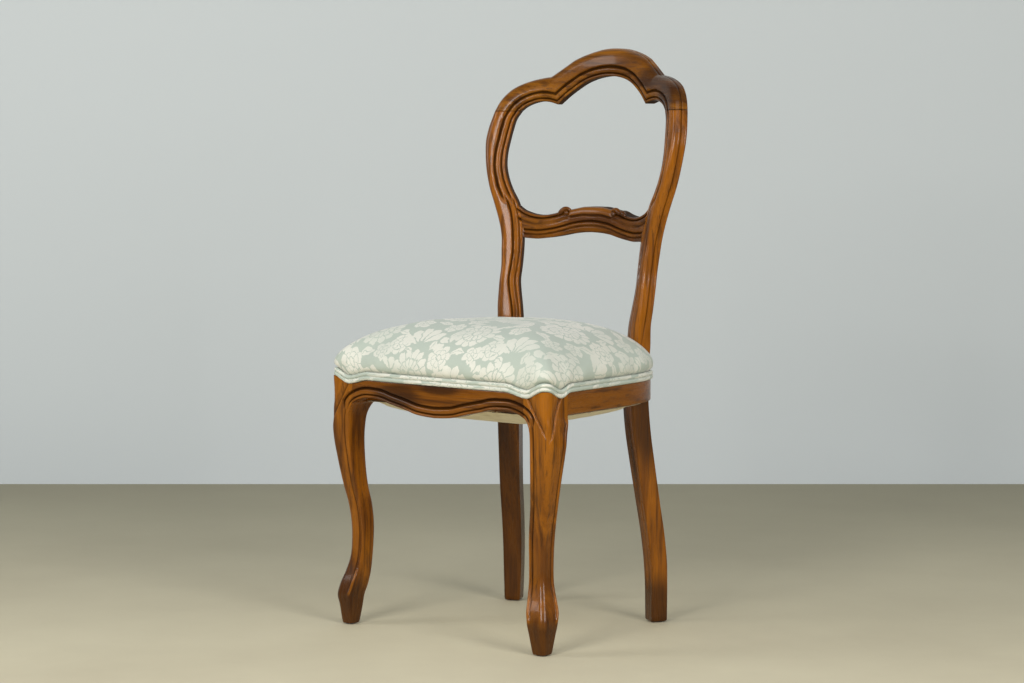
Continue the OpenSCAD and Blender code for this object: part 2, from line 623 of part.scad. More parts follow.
// A screw with its head, or with play the hole and the counterbore that it needs
module screw(head, dir, play = 0) {
    unit = dir / norm(dir);
    bar(head, unit, screw_l, screw_d + 2 * play);
    bar(head - unit * (play > 0 ? screw_l : screw_head_t), unit, play > 0 ? screw_l : screw_head_t,
        screw_head_d + 4 * play);
}
module front_block_screw_set(play = 0) {
    y = cross_y(front_block_front, front_block_side, front_screw_x);
    screw([front_screw_x, y - screw_seat, screw_z], [0, -1, 0], play);
}
module front_block_side_screw(play = 0) {
    x = cross_x(front_block_front, front_block_side, side_screw_y);
    screw([x + screw_seat, side_screw_y, screw_z], [1, 0, 0], play);
}
module rear_block_rail_screw(play = 0) {
    y = cross_y(rear_block_rear, rear_block_side, rear_screw_x);
    screw([rear_screw_x, y + screw_seat / 2, screw_z], [0, 1, 0], play);
}
module rear_block_side_screw(play = 0) {
    x = cross_x(rear_block_rear, rear_block_side, rear_side_screw_y);
    screw([x + screw_seat, rear_side_screw_y, screw_z], [1, 0, 0], play);
}
module block_screws() {
    color(steel) pair() {
        front_block_screw_set();
        front_block_side_screw();
        rear_block_rail_screw();
        rear_block_side_screw();
    }
}
module front_block_solid() {
    difference() {
        translate([0, 0, corner_block_z]) linear_extrude(corner_block_h)
            polygon([front_block_front, [block_lo[0], front_strip_back], [block_lo[0], block_hi[1]],
                [side_inner(0)[0], block_hi[1]], front_block_side]);
        front_block_screw_set(fit_play);
        front_block_side_screw(fit_play);
    }
}
module rear_block_solid() {
    difference() {
        translate([0, 0, corner_block_z]) linear_extrude(corner_block_h)
            polygon([rear_block_rear, rear_block_side, side_inner(side_steps_shares[6]),
                side_inner(side_steps_shares[7]), side_inner_end, [post_inner_front[0], post_inner_front[1]],
                [on_inner_face(rear_y_lo), rear_y_lo]]);
        translate([0, 0, rail_bottom - over]) linear_extrude(rail_h + 2 * over) post_plan();
        rear_block_rail_screw(fit_play);
        rear_block_side_screw(fit_play);
    }
}
module front_block_right() { color(beech) front_block_solid(); }
module front_block_left() { color(beech) mirror([1, 0, 0]) front_block_solid(); }
module rear_block_right() { color(beech) rear_block_solid(); }
module rear_block_left() { color(beech) mirror([1, 0, 0]) rear_block_solid(); }

module crest_dowels() { color(beech) pair() crest_dowel_set(); }
module mid_rail_dowels() { color(beech) pair() mid_dowel_set(); }
module front_rail_dowels() { color(beech) pair() front_rail_dowel_set(); }
module side_rail_front_dowels() { color(beech) pair() side_front_dowel_set(); }
module side_rail_rear_dowels() { color(beech) pair() side_rear_dowel_set(); }
module rear_rail_dowels() { color(beech) pair() rear_dowel_set(); }

// Glides, nailed up into the feet
rear_glide = rear_foot + in_plan(foot_back + post_d * leg_shares[0][4] / 2,
    post_w * (leg_shares[0][2] - leg_shares[0][3] / 2));
module glide_nail(at, play = 0) {
    translate([at[0], at[1], glide_t / 2]) cylinder(h = nail_l + play, d = nail_d + 2 * play, $fn = round_fn);
}
module glide(at) {
    translate([at[0], at[1], 0]) cylinder(h = glide_t, d = glide_d, $fn = round_fn);
    glide_nail(at);
}
module foot_glides() {
    color(steel) pair() {
        glide(front_foot);
        glide(rear_glide);
    }
}

// Seat outline, right half, from the front's middle to the rear's middle: place, and lift of the welt
dip_front_x = mix(block_lo[0], block_hi[0], 0.25);
dip_side_y = mix(block_hi[1], block_lo[1], 0.25);
lift_shares = [-0.35, 0.55, 1];
front_shares = [0, 0.22, 0.44, 0.64, 0.82];
in_post_share = 0.6;
in_post_outer = post_point(rail_station, post_d * in_post_share, rail_station[2] - edge_flat, 0);
in_post_inner = [on_inner_face(rear_y_hi) + rear_set, rear_y_hi, 0];
function half_line(at_outer, at_inner) = concat(
    [for (t = front_shares) [block_lo[0] * t, block_lo[1] - front_bow * (1 - t * t), 0]],
    [[block_lo[0], block_lo[1], -knee_dip / 2], [dip_front_x, block_lo[1], -knee_dip]],
    [for (k = [-2:2]) let(a = 45 + k * 45 / 2)
        [arc_mid[0] + arc_r * sin(a), arc_mid[1] - arc_r * cos(a), knee_rise * lift_shares[2 - abs(k)]]],
    [[block_hi[0], dip_side_y, -knee_dip], [block_hi[0], block_hi[1], 0]],
    [for (k = [2, 4, 5, 6, 7, 8, 9]) let(p = side_outer(side_steps_shares[k])) [p[0], p[1], 0]],
    [at_outer, at_inner],
    [[post_inner_front[0] * 0.5, rear_y_hi, 0], [0, rear_y_hi, 0]]);
function whole_line(half) = concat(half, [for (i = [1:len(half) - 2]) flip(half[len(half) - 1 - i])]);
edge_half = half_line(in_post_outer, in_post_inner);
half_n = len(edge_half);
edge = whole_line(edge_half);
edge_n = len(edge);
// The same line carried round the backs of the posts, which the crown follows
round_line = whole_line(half_line([post_outer_back[0], post_outer_back[1], 0], in_post_inner));
edge_out = [for (i = [0:edge_n - 1])
    let(d = edge[(i + 1) % edge_n] - edge[(i + edge_n - 1) % edge_n], l = norm([d[0], d[1]]))
    [d[1] / l, -d[0] / l]];
seat_mid = [0, mix(block_lo[1], rear_y_hi, 0.5)];

// Ring of the seat: the outline moved out by off and drawn in to a share of its size
function seat_ring(off, share, z, lift) = [for (i = [0:edge_n - 1])
    let(p = share < 1 ? round_line[i] : edge[i])
    [seat_mid[0] + (p[0] + edge_out[i][0] * off - seat_mid[0]) * share,
    seat_mid[1] + (p[1] + edge_out[i][1] * off - seat_mid[1]) * share,
    z + edge[i][2] * lift]];

// Side and crown of the seat, in shares: how far the ring bulges, its size, its height, the welt's lift
side_shares = [[0.7, 1, 0.175, 0.8], [1, 1, 0.27, 0.2]];
crown_top_shares = [[0.985, 0.385], [0.95, 0.475], [0.88, 0.62], [0.76, 0.775], [0.55, 0.918],
    [0.28, 0.985]];
inner_pull = 8;
skirt_off = -rebate_d + seat_gap + cover_t;
welt_top = seat_line_h + seat_gap + 2 * welt_d;
function side_rings(in) = [for (s = side_shares)
    seat_ring(side_bulge * s[0] - in, s[1], seat_line_h + crown_h * s[2], s[3])];
function crown_rings(in) = [for (s = crown_top_shares)
    seat_ring(side_bulge - in, s[0], seat_line_h + crown_h * s[1] - in * (1 - pow(s[0], inner_pull)), 0)];
function seat_surface(in) = concat(
    [seat_ring(skirt_off - in, 1, seat_line_h + seat_gap, 1), seat_ring(skirt_off - in, 1, welt_top, 1)],
    side_rings(in), crown_rings(in));
module post_room() {
    pair() loft([for (i = [len(leg_shares) - 1:len(leg_shares) + 3])
        post_section(post_stations[i], 3 * seat_gap)]);
}
module seat_cover() {
    color(damask) difference() {
        sheet(seat_surface(0), [seat_mid[0], seat_mid[1], seat_line_h + crown_h],
            seat_surface(cover_t), [seat_mid[0], seat_mid[1], seat_line_h + crown_h - cover_t]);
        post_room();
    }
}

// Canvas over the springs, in shares: size of the ring, height
canvas_shares = [[0.93, 0.45], [0.84, 0.85], [0.72, 1], [0.35, 1]];
canvas_off = -rebate_d - side_rail_t / 4;
canvas_low = tack_top + seat_gap / 3;
function canvas_surface(z, out = 0) = concat([seat_ring(canvas_off + out, 1, z, 0)],
    [for (s = canvas_shares) seat_ring(canvas_off + out, s[0], z + canvas_rise * s[1], 0)]);
module spring_canvas() {
    color(jute) difference() {
        sheet(canvas_surface(canvas_low + canvas_t), [seat_mid[0], seat_mid[1], canvas_low + canvas_t + canvas_rise],
            canvas_surface(canvas_low), [seat_mid[0], seat_mid[1], canvas_low + canvas_rise]);
        post_room();
    }
}

// Stuffed pad between the canvas and the cover
pad_in = cover_t + seat_gap;
pad_top = seat_line_h + crown_h - pad_in;
function not_below(ring, z) = [for (p = ring) [p[0], p[1], max(p[2], z)]];
module seat_pad() {
    under = canvas_low + canvas_t + 2 * seat_gap;
    sides = side_rings(pad_in);
    color(calico) difference() {
        sheet(concat([seat_ring(skirt_off - pad_in, 1, tack_top + seat_gap, 0),
                not_below(seat_ring(skirt_off - pad_in, 1, welt_top + 2 * seat_gap, 1), tack_top + 2 * seat_gap)],
            [for (k = [0:len(sides) - 1]) not_below([for (p = sides[k]) p + [0, 0, seat_gap]],
                tack_top + (k + 3) * seat_gap)],
            crown_rings(pad_in)),
            [seat_mid[0], seat_mid[1], pad_top],
            concat([seat_ring(canvas_off + 2 * seat_gap, 1, tack_top + seat_gap, 0)],
                canvas_surface(under, 2 * seat_gap)),
            [seat_mid[0], seat_mid[1], under + canvas_rise]);
        post_room();
    }
}

// Double welt: two cords side by side, one strip of cloth, sitting in the rebate
welt_off = skirt_off + welt_d / 2 + seat_gap;
welt_angles = [-60, 0, 60, 120, 180, 240];
function welt_ring(i) =
    let(
        n = edge_out[i],
        c = [edge[i][0] + n[0] * welt_off, edge[i][1] + n[1] * welt_off],
        z = seat_line_h + seat_gap + welt_d / 2 + edge[i][2],
        r = welt_d / 2)
    concat(
        [for (a = [-150, -90, -30, 20]) [c[0] + n[0] * r * cos(a), c[1] + n[1] * r * cos(a), z + r * sin(a)]],
        [for (a = [-20, 30, 90, 150, 200]) [c[0] + n[0] * r * cos(a), c[1] + n[1] * r * cos(a), z + welt_d + r * sin(a)]],
        [[c[0] + n[0] * r * cos(160), c[1] + n[1] * r * cos(160), z + r * sin(160)]]);
welt_end = half_n - 5;
module double_welt() {
    color(damask) {
        loft([for (i = [welt_end:-1:-welt_end]) welt_ring((i + edge_n) % edge_n)]);
        difference() {
            loft([for (i = [half_n + 1:-1:half_n - 3]) welt_ring(i)]);
            post_room();
        }
    }
}

// Webbing: flat on the rails' undersides, then down to a level stretch below the springs
strap_mid_y = seat_mid[1];
cross_strap_gap = strap_mid_y - block_hi[1] - strap_clear - strap_w / 2;
strap_run = cross_strap_gap * 1.4;
strap_lap = strap_w / 2;
long_front = front_strip_back - front_strip_t;
long_back = rear_y_hi - rebate_d;
module long_strap_line() {
    z = rail_bottom;
    low = rail_bottom - strap_sag;
    polygon([[long_front, z], [long_front, z - strap_t], [long_front + strap_lap, z - strap_t],
        [strap_mid_y - strap_run, low - strap_t], [strap_mid_y + strap_run, low - strap_t],
        [long_back - strap_lap, z - strap_t], [long_back, z - strap_t], [long_back, z],
        [long_back - strap_lap, z], [strap_mid_y + strap_run, low], [strap_mid_y - strap_run, low],
        [long_front + strap_lap, z]]);
}
module long_webbing() {
    color(jute) difference() {
        for (k = [-1:1]) translate([k * long_strap_gap - strap_w / 2, 0, 0])
            rotate([90, 0, 90]) linear_extrude(strap_w) long_strap_line();
        long_tack_set(fit_play);
    }
}
function strap_end(y) = (side_inner(side_share_at(y))[0] + side_outer(side_share_at(y))[0]) / 2;
module cross_strap(y) {
    far = strap_end(y + strap_w / 2);
    flat = long_strap_gap + strap_w / 2;
    lap = strap_w * 0.3;
    z = rail_bottom;
    low = rail_bottom - strap_sag - strap_t;
    half = [[flat, low - strap_t], [far - lap, z - strap_t], [far, z - strap_t], [far, z], [far - lap, z],
        [flat, low]];
    translate([0, y + strap_w / 2, 0]) rotate([90, 0, 0]) linear_extrude(strap_w)
        polygon(concat(half, [for (k = [1:len(half)]) [-half[len(half) - k][0], half[len(half) - k][1]]]));
}
module cross_webbing() {
    color(jute) difference() {
        for (k = [-1:1]) cross_strap(strap_mid_y + k * cross_strap_gap);
        pair() cross_tack_set(fit_play);
    }
}

// A tack driven up through cloth or webbing, with its head below
tack_head_t = strap_t / 2;
tack_d = tack_head_d * 0.3;
module tack(x, y, z, play = 0) {
    translate([x, y, z - tack_head_t]) cylinder(h = tack_head_t + tack_l + play, d = tack_d + 2 * play, $fn = 8);
    if (play == 0) translate([x, y, z - tack_head_t]) cylinder(h = tack_head_t, d = tack_head_d, $fn = 8);
}
tack_inset = strap_w * 0.08;
module long_tack_set(play = 0) {
    for (k = [-1:1], s = [-1, 1], y = [long_front + tack_inset, long_back - tack_inset])
        tack(k * long_strap_gap + s * strap_w / 4, y, rail_bottom - strap_t, play);
}
module cross_tack_set(play = 0) {
    for (k = [-1:1], s = [-1, 1]) {
        y = strap_mid_y + k * cross_strap_gap;
        tack(strap_end(y + strap_w / 2) - tack_inset, y + s * strap_w / 4, rail_bottom - strap_t, play);
    }
}
module webbing_tacks() {
    color(steel) {
        long_tack_set();
        pair() cross_tack_set();
    }
}

// Hourglass springs, sewn to the webbing and bearing on the canvas
spring_low = rail_bottom - strap_sag;
spring_top = canvas_low + canvas_rise - spring_wire_d / 2 - seat_gap;
turn_steps = 10;
wire_sides = 5;
function coil_ring(k, n) =
    let(
        t = k / n,
        a = 360 * spring_turns * t,
        r = spring_waist_r + (spring_r - spring_waist_r) * pow(2 * t - 1, 2),
        z = mix(spring_low + spring_wire_d / 2, spring_top, t))
    [for (w = [0:wire_sides - 1]) let(b = -360 * w / wire_sides, q = r + spring_wire_d / 2 * cos(b))
        [q * cos(a), q * sin(a), z + spring_wire_d / 2 * sin(b)]];
module coil() {
    n = spring_turns * turn_steps;
    rotate([0, 0, 90]) loft([for (k = [0:n]) coil_ring(k, n)]);
}
module seat_springs() {
    color(steel) {
        translate([0, strap_mid_y, 0]) coil();
        for (s = [-1, 1], f = [-1, 1]) translate([s * long_strap_gap, strap_mid_y + f * spring_fore, 0]) coil();
    }
}

// Bottom cloth, tacked below the rails and cut round the legs and posts
cloth_top = rail_bottom - strap_t - tack_head_t - seat_gap;
clear = front_strip_t / 4;
cloth_front = front_strip_back - 2 * clear;
cloth_rear = rear_y_hi - rebate_d;
function cloth_side(k) = side_outer(side_steps_shares[k]) - [side_rail_t / 2, 0];
cloth_half = [
    [0, cloth_front], [block_lo[0] / 2, cloth_front], [block_lo[0] - clear, cloth_front],
    [block_lo[0] - clear, block_hi[1] + clear], [block_hi[0] - side_rail_t / 2, block_hi[1] + clear],
    cloth_side(2), cloth_side(4), cloth_side(5), side_outer(side_steps_shares[7]) - [side_rail_t, 0],
    [post_outer_front[0], post_outer_front[1] - clear],
    [post_inner_front[0] - clear, post_inner_front[1] - clear],
    [post_inner_front[0] - clear, cloth_rear], [0, cloth_rear]];
cloth_half_n = len(cloth_half);
cloth_edge = concat(cloth_half,
    [for (i = [1:cloth_half_n - 2]) let(p = cloth_half[cloth_half_n - 1 - i]) [-p[0], p[1]]]);
// Sag of the cloth, in shares: size of the ring, depth
cloth_shares = [[1, 0], [0.945, 0], [0.86, 0.32], [0.7, 0.62], [0.5, 0.84], [0.25, 0.97]];
function cloth_surface(z) = [for (s = cloth_shares) [for (p = cloth_edge)
    [p[0] * s[0], mix(seat_mid[1], p[1], s[0]), z - cloth_sag * s[1]]]];
module bottom_cloth() {
    color(calico) difference() {
        sheet(cloth_surface(cloth_top), [seat_mid[0], seat_mid[1], cloth_top - cloth_sag],
            cloth_surface(cloth_top - cloth_t), [seat_mid[0], seat_mid[1], cloth_top - cloth_t - cloth_sag]);
        front_cloth_tack_set(fit_play);
        rear_cloth_tack_set(fit_play);
        pair() side_cloth_tack_set(fit_play);
    }
}
cloth_tack_z = cloth_top - cloth_t;
cloth_tack_in = tack_head_d / 2 + seat_gap;
module front_cloth_tack_set(play = 0) {
    for (s = [-1, 1]) {
        tack(s * long_strap_gap / 2, cloth_front + cloth_tack_in, cloth_tack_z, play);
        tack(s * (block_lo[0] - 3 * clear), cloth_front + cloth_tack_in, cloth_tack_z, play);
    }
}
module rear_cloth_tack_set(play = 0) {
    for (s = [-1, 1]) tack(s * long_strap_gap / 2, cloth_rear - cloth_tack_in, cloth_tack_z, play);
}
module side_cloth_tack_set(play = 0) {
    for (y = [strap_mid_y - cross_strap_gap / 2, strap_mid_y + cross_strap_gap / 2])
        tack(side_outer(side_share_at(y))[0] - side_rail_t / 2 - cloth_tack_in, y, cloth_tack_z, play);
}
module cloth_tacks() {
    color(steel) {
        front_cloth_tack_set();
        rear_cloth_tack_set();
        pair() side_cloth_tack_set();
    }
}

crest_rail();
back_post_left();
back_post_right();
mid_rail();
front_leg_left();
front_leg_right();
front_rail();
side_rail_left();
side_rail_right();
rear_rail();
front_block_left();
front_block_right();
rear_block_left();
rear_block_right();
block_screws();
crest_dowels();
mid_rail_dowels();
front_rail_dowels();
side_rail_front_dowels();
side_rail_rear_dowels();
rear_rail_dowels();
foot_glides();
long_webbing();
cross_webbing();
webbing_tacks();
seat_springs();
spring_canvas();
seat_pad();
seat_cover();
double_welt();
bottom_cloth();
cloth_tacks();
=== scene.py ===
"""Looks of a balloon back dining chair: carved walnut frame and a crowned seat in floral damask.

Every length in the tables is in millimetres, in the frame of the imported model: z up from the
floor, the sitter faces -y. Meshes are grown from rings of points, and carving is cut into them
by the distance of each point from the edge that the moulding follows.
"""

import json
import logging
import math
from collections.abc import Iterator, Sequence
from dataclasses import dataclass
from enum import Enum

import bmesh
import bpy
import numpy as np
from mathutils import Matrix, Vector
from mathutils.kdtree import KDTree

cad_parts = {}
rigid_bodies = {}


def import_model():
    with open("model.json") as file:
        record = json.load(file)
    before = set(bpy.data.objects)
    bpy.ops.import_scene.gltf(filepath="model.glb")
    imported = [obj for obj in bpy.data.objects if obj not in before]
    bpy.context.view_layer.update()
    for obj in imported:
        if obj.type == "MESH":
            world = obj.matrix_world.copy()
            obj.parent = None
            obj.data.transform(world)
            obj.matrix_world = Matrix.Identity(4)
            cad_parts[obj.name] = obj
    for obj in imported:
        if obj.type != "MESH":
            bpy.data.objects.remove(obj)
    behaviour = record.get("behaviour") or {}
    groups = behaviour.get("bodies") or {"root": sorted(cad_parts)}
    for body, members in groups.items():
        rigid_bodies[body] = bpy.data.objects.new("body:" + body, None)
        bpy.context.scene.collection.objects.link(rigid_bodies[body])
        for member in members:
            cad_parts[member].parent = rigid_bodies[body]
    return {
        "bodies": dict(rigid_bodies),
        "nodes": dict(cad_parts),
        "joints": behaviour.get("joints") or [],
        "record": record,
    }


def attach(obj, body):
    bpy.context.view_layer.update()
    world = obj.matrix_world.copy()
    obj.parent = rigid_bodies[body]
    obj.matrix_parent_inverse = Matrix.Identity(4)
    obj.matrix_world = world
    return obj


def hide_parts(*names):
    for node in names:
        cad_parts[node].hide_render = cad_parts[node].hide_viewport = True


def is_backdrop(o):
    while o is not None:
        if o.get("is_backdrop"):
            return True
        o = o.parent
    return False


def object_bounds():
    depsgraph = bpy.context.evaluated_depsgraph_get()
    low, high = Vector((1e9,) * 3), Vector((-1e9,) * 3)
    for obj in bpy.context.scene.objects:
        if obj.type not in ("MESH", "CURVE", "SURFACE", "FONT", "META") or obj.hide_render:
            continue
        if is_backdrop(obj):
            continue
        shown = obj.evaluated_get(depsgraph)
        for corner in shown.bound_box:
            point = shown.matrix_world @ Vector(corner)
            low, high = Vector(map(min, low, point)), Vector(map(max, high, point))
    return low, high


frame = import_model()

MM = 0.001  # metres in a millimetre
Rows = Sequence[tuple[float, ...]]
Triple = tuple[float, float, float]
Pair = tuple[float, float]
Colour = Triple
log = logging.getLogger("chair")


# Shapes


class Spline:
    """A smooth curve through rows of numbers, with one parameter value for each row."""

    def __init__(self, at: list[float] | np.ndarray, rows: list | np.ndarray) -> None:
        """Work out the slopes at the rows.

        Args:
            at: Rising parameter values, one for each row.
            rows: The numbers that the curve passes through.
        """
        self.at = np.asarray(at, float)
        self.rows = np.asarray(rows, float)
        step = np.diff(self.at)
        flat = self.rows.reshape(len(self.rows), -1)
        slope = np.diff(flat, axis=0) / step[:, None]
        inner = (slope[:-1] * step[1:, None] + slope[1:] * step[:-1, None]) / (step[1:] + step[:-1])[:, None]
        self.slopes = np.vstack([slope[:1], inner, slope[-1:]]).reshape(self.rows.shape)

    def __call__(self, at: float | np.ndarray) -> np.ndarray:
        """Numbers on the curve.

        Args:
            at: One or several parameter values.

        Returns:
            A row of numbers for each value.
        """
        at = np.clip(np.atleast_1d(np.asarray(at, float)), self.at[0], self.at[-1])
        k = np.clip(np.searchsorted(self.at, at, side="right") - 1, 0, len(self.at) - 2)
        h = self.at[k + 1] - self.at[k]
        t = (at - self.at[k]) / h
        shape = (len(at),) + (1,) * (self.rows.ndim - 1)
        t, h = t.reshape(shape), h.reshape(shape)
        return (
            (1 + 2 * t) * (1 - t) ** 2 * self.rows[k]
            + t * (1 - t) ** 2 * h * self.slopes[k]
            + t * t * (3 - 2 * t) * self.rows[k + 1]
            + t * t * (t - 1) * h * self.slopes[k + 1]
        )


def spline_table(rows: Rows) -> Spline:
    """A spline whose parameter is the first column of the rows."""
    table = np.asarray(rows, float)
    return Spline(table[:, 0], table[:, 1:])


def smooth(low: float, high: float, value: float | np.ndarray) -> np.ndarray:
    """Soft step from 0 at low to 1 at high."""
    t = np.clip((np.asarray(value, float) - low) / (high - low), 0, 1)
    return t * t * (3 - 2 * t)


def hump(value: np.ndarray, middle: float | np.ndarray, half: float) -> np.ndarray:
    """A round hump of height 1 at the middle that ends at half a width on each side."""
    return np.clip(1 - ((np.asarray(value, float) - middle) / half) ** 2, 0, None) ** 1.5


def distance_to(points: np.ndarray, line: np.ndarray) -> np.ndarray:
    """Distance of points in a plane from a line of straight runs.

    Args:
        points: Points, an array of n by 2.
        line: Corners of the line, an array of m by 2.

    Returns:
        The n distances.
    """
    start, run = line[:-1], np.diff(line, axis=0)
    length = np.maximum((run**2).sum(1), 1e-9)
    off = points[:, None] - start[None]
    t = np.clip((off * run[None]).sum(2) / length, 0, 1)
    best = ((off - t[..., None] * run[None]) ** 2).sum(2).min(1)
    return np.sqrt(best)


def run_length(points: np.ndarray) -> np.ndarray:
    """Length along a line at each of its points."""
    return np.concatenate([[0], np.cumsum(np.linalg.norm(np.diff(points, axis=0), axis=1))])


def relaxed(ring: np.ndarray, times: int) -> np.ndarray:
    """A closed ring with its corners softened a number of times."""
    for _ in range(times):
        ring = (np.roll(ring, 1, axis=0) + 2 * ring + np.roll(ring, -1, axis=0)) / 4
    return ring


def heading(turn: float) -> np.ndarray:
    """Level direction to the back, turned outwards by an angle."""
    return np.array([math.sin(turn), math.cos(turn), 0.0])


def circle(count: int) -> tuple[np.ndarray, np.ndarray]:
    """Cosines and sines of even steps round a circle, shaped to go between rings and axes."""
    turn = np.linspace(0, 2 * math.pi, count, endpoint=False)
    return np.cos(turn)[None, :, None], np.sin(turn)[None, :, None]


def mirrored(rings: np.ndarray) -> np.ndarray:
    """The same rings on the other side of the chair, wound the same way."""
    out = rings[:, ::-1].copy()
    out[..., 0] *= -1
    return out


def doubled(half: np.ndarray) -> np.ndarray:
    """The right half, which starts in the middle, with its mirror image before it.

    Args:
        half: Rings of points, or the depths of their carving, which are only repeated.

    Returns:
        The rows from the left end to the right end.
    """
    other = half[:0:-1].copy()
    if half.ndim > 2:
        other[..., 0] *= -1
    return np.concatenate([other, half])


def pair(name: str, rings: np.ndarray, depths: np.ndarray) -> Iterator[tuple[str, np.ndarray, np.ndarray]]:
    """Name, rings and depths of the right one of two pieces, then of the left one."""
    yield f"{name}_right", rings, depths
    yield f"{name}_left", mirrored(rings), depths[:, ::-1]


def linked(name: str, data: bpy.types.ID) -> bpy.types.Object:
    """An object of the scene that shows some data."""
    made = bpy.data.objects.new(name, data)
    bpy.context.scene.collection.objects.link(made)
    return made


class Shape:
    """One mesh in the making, grown from rings of points by extrusion."""

    def __init__(self) -> None:
        """Start with an empty mesh and its map, and a layer that says how deep the carving is; joints and
        faces that get painted shade are given a depth in it too.
        """
        self.bm = bmesh.new()
        self.map = self.bm.loops.layers.uv.new("Map")
        self.depth = self.bm.verts.layers.float.new("carving")

    def loft(
        self,
        rings: np.ndarray,
        depths: np.ndarray | None = None,
        maps: np.ndarray | None = None,
        capped: tuple[bool, bool] = (True, True),
    ) -> None:
        """Grow a skin through closed rings.

        Args:
            rings: Points in millimetres, an array of rings by points by 3.
            depths: Depth of the carving at each point, for the finish.
            maps: Map coordinates of each point; without them, the ring and point number serve.
            capped: Whether the first and last ring are closed with a face.
        """
        bm, rows, count = self.bm, len(rings), len(rings[0])
        made = bmesh.ops.create_grid(bm, x_segments=count, y_segments=rows - 1, size=1.0)["verts"]
        place = {}
        for k, vert in enumerate(made):
            i, j = divmod(k, count + 1)
            place[vert] = (i, j)
            vert.co = rings[i][j % count] * MM
            vert[self.depth] = 0.0 if depths is None else float(depths[i][j % count])
        for face in {f for v in made for f in v.link_faces}:
            for loop in face.loops:
                i, j = place[loop.vert]
                plain = (i / (rows - 1), j / count)
                loop[self.map].uv = plain if maps is None else maps[i][j % count]
        seam = {made[i * (count + 1) + count]: made[i * (count + 1)] for i in range(rows)}
        ends = [made[:count], made[-count - 1:-1]]
        bmesh.ops.weld_verts(bm, targetmap=seam)
        for end, wanted in zip(ends, capped):
            if wanted:
                rim = [bm.edges.get((end[i - 1], end[i])) for i in range(count)]
                bmesh.ops.contextual_create(bm, geom=rim)

    def ball(self, place: Triple, size: Triple) -> None:
        """A rounded knob.

        Args:
            place: Its middle, in millimetres.
            size: Its three radii, in millimetres.
        """
        made = bmesh.ops.create_uvsphere(self.bm, u_segments=24, v_segments=14, radius=1.0)["verts"]
        bmesh.ops.scale(self.bm, vec=[s * MM for s in size], verts=made)
        bmesh.ops.translate(self.bm, vec=[p * MM for p in place], verts=made)

    def block(self, low: Triple, high: Triple, edge: float) -> None:
        """A block with softened edges.

        Args:
            low: Its lowest corner, in millimetres.
            high: Its highest corner, in millimetres.
            edge: Width of the softened edges.
        """
        made = bmesh.ops.create_cube(self.bm, size=1.0)["verts"]
        bmesh.ops.scale(self.bm, vec=[(b - a) * MM for a, b in zip(low, high)], verts=made)
        bmesh.ops.translate(self.bm, vec=[(a + b) / 2 * MM for a, b in zip(low, high)], verts=made)
        edges = list({e for v in made for e in v.link_edges})
        bmesh.ops.bevel(
            self.bm, geom=edges, offset=edge * MM, affect="EDGES", segments=2, profile=0.5, material=-1
        )

    def tube(self, path: np.ndarray, radii: np.ndarray, sides: int, dirt_and_shade: float = 0.0) -> None:
        """A round bar along a path.

        Args:
            path: Points of its middle line, in millimetres.
            radii: Radius at each point.
            sides: Points round it.
            dirt_and_shade: Depth that its finish takes it to lie at, so that the finish darkens it with dirt
                and painted shade.
        """
        ahead = np.gradient(path, axis=0)
        ahead /= np.linalg.norm(ahead, axis=1)[:, None]
        side = np.cross(ahead, [0.0, 0.0, 1.0])
        weak = np.linalg.norm(side, axis=1) < 1e-3
        side[weak] = [1.0, 0.0, 0.0]
        side /= np.linalg.norm(side, axis=1)[:, None]
        flips = np.where((side[1:] * side[:-1]).sum(axis=1) < 0, -1.0, 1.0)
        side[1:] *= np.cumprod(flips)[:, None]
        up = np.cross(side, ahead)
        cosine, sine = circle(sides)
        rings = path[:, None] + radii[:, None, None] * (side[:, None] * cosine + up[:, None] * sine)
        self.loft(rings, np.full(rings.shape[:2], dirt_and_shade))

    def finish(
        self, name: str, material: bpy.types.Material, replaces: tuple[str, ...],
        crease: float = 0.0,
    ) -> bpy.types.Object:
        """Make the mesh an object of the chair.

        Args:
            name: Name of the piece.
            material: Its finish.
            replaces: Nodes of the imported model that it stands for.
            crease: Edges sharper than this many degrees stay crisp; 0 leaves all of them soft.

        Returns:
            The object, at the origin and riding on the chair.
        """
        bmesh.ops.recalc_face_normals(self.bm, faces=self.bm.faces)
        for face in self.bm.faces:
            face.smooth = True
        mesh = bpy.data.meshes.new(name)
        self.bm.to_mesh(mesh)
        self.bm.free()
        mesh.materials.append(material)
        piece = linked(name, mesh)
        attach(piece, "root")
        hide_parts(*replaces)
        if crease:
            mesh.set_sharp_from_angle(angle=math.radians(crease))
        return piece


def thicken(piece: bpy.types.Object, thickness: float) -> None:
    """Give a skin its thickness.

    Args:
        piece: The skin.
        thickness: How far the thickness goes inwards, in millimetres.
    """
    solid = piece.modifiers.new("thickness", "SOLIDIFY")
    solid.thickness = thickness * MM
    solid.offset = -1
    solid.use_even_offset = False


# Finishes


class Value:
    """A number, vector or colour that the nodes work out, with the usual arithmetic on numbers."""

    def __init__(self, nodes: "Nodes", socket: bpy.types.NodeSocket) -> None:
        """Hold a socket, and the nodes that it belongs to."""
        self.nodes, self.socket = nodes, socket

    def __add__(self, other: object) -> "Value":
        """The sum with another number."""
        return self.nodes.math("ADD", self, other)

    def __sub__(self, other: object) -> "Value":
        """This number less another."""
        return self.nodes.math("SUBTRACT", self, other)

    def __rsub__(self, other: float) -> "Value":
        """Another number less this one."""
        return self.nodes.math("SUBTRACT", other, self)

    def __mul__(self, other: object) -> "Value":
        """The product with another number."""
        return self.nodes.math("MULTIPLY", self, other)

    def __truediv__(self, other: object) -> "Value":
        """This number divided by another."""
        return self.nodes.math("DIVIDE", self, other)

    def __pow__(self, power: float) -> "Value":
        """A power of this number."""
        return self.nodes.math("POWER", self, power)

    def __abs__(self) -> "Value":
        """This number without its sign."""
        return self.nodes.math("ABSOLUTE", self)


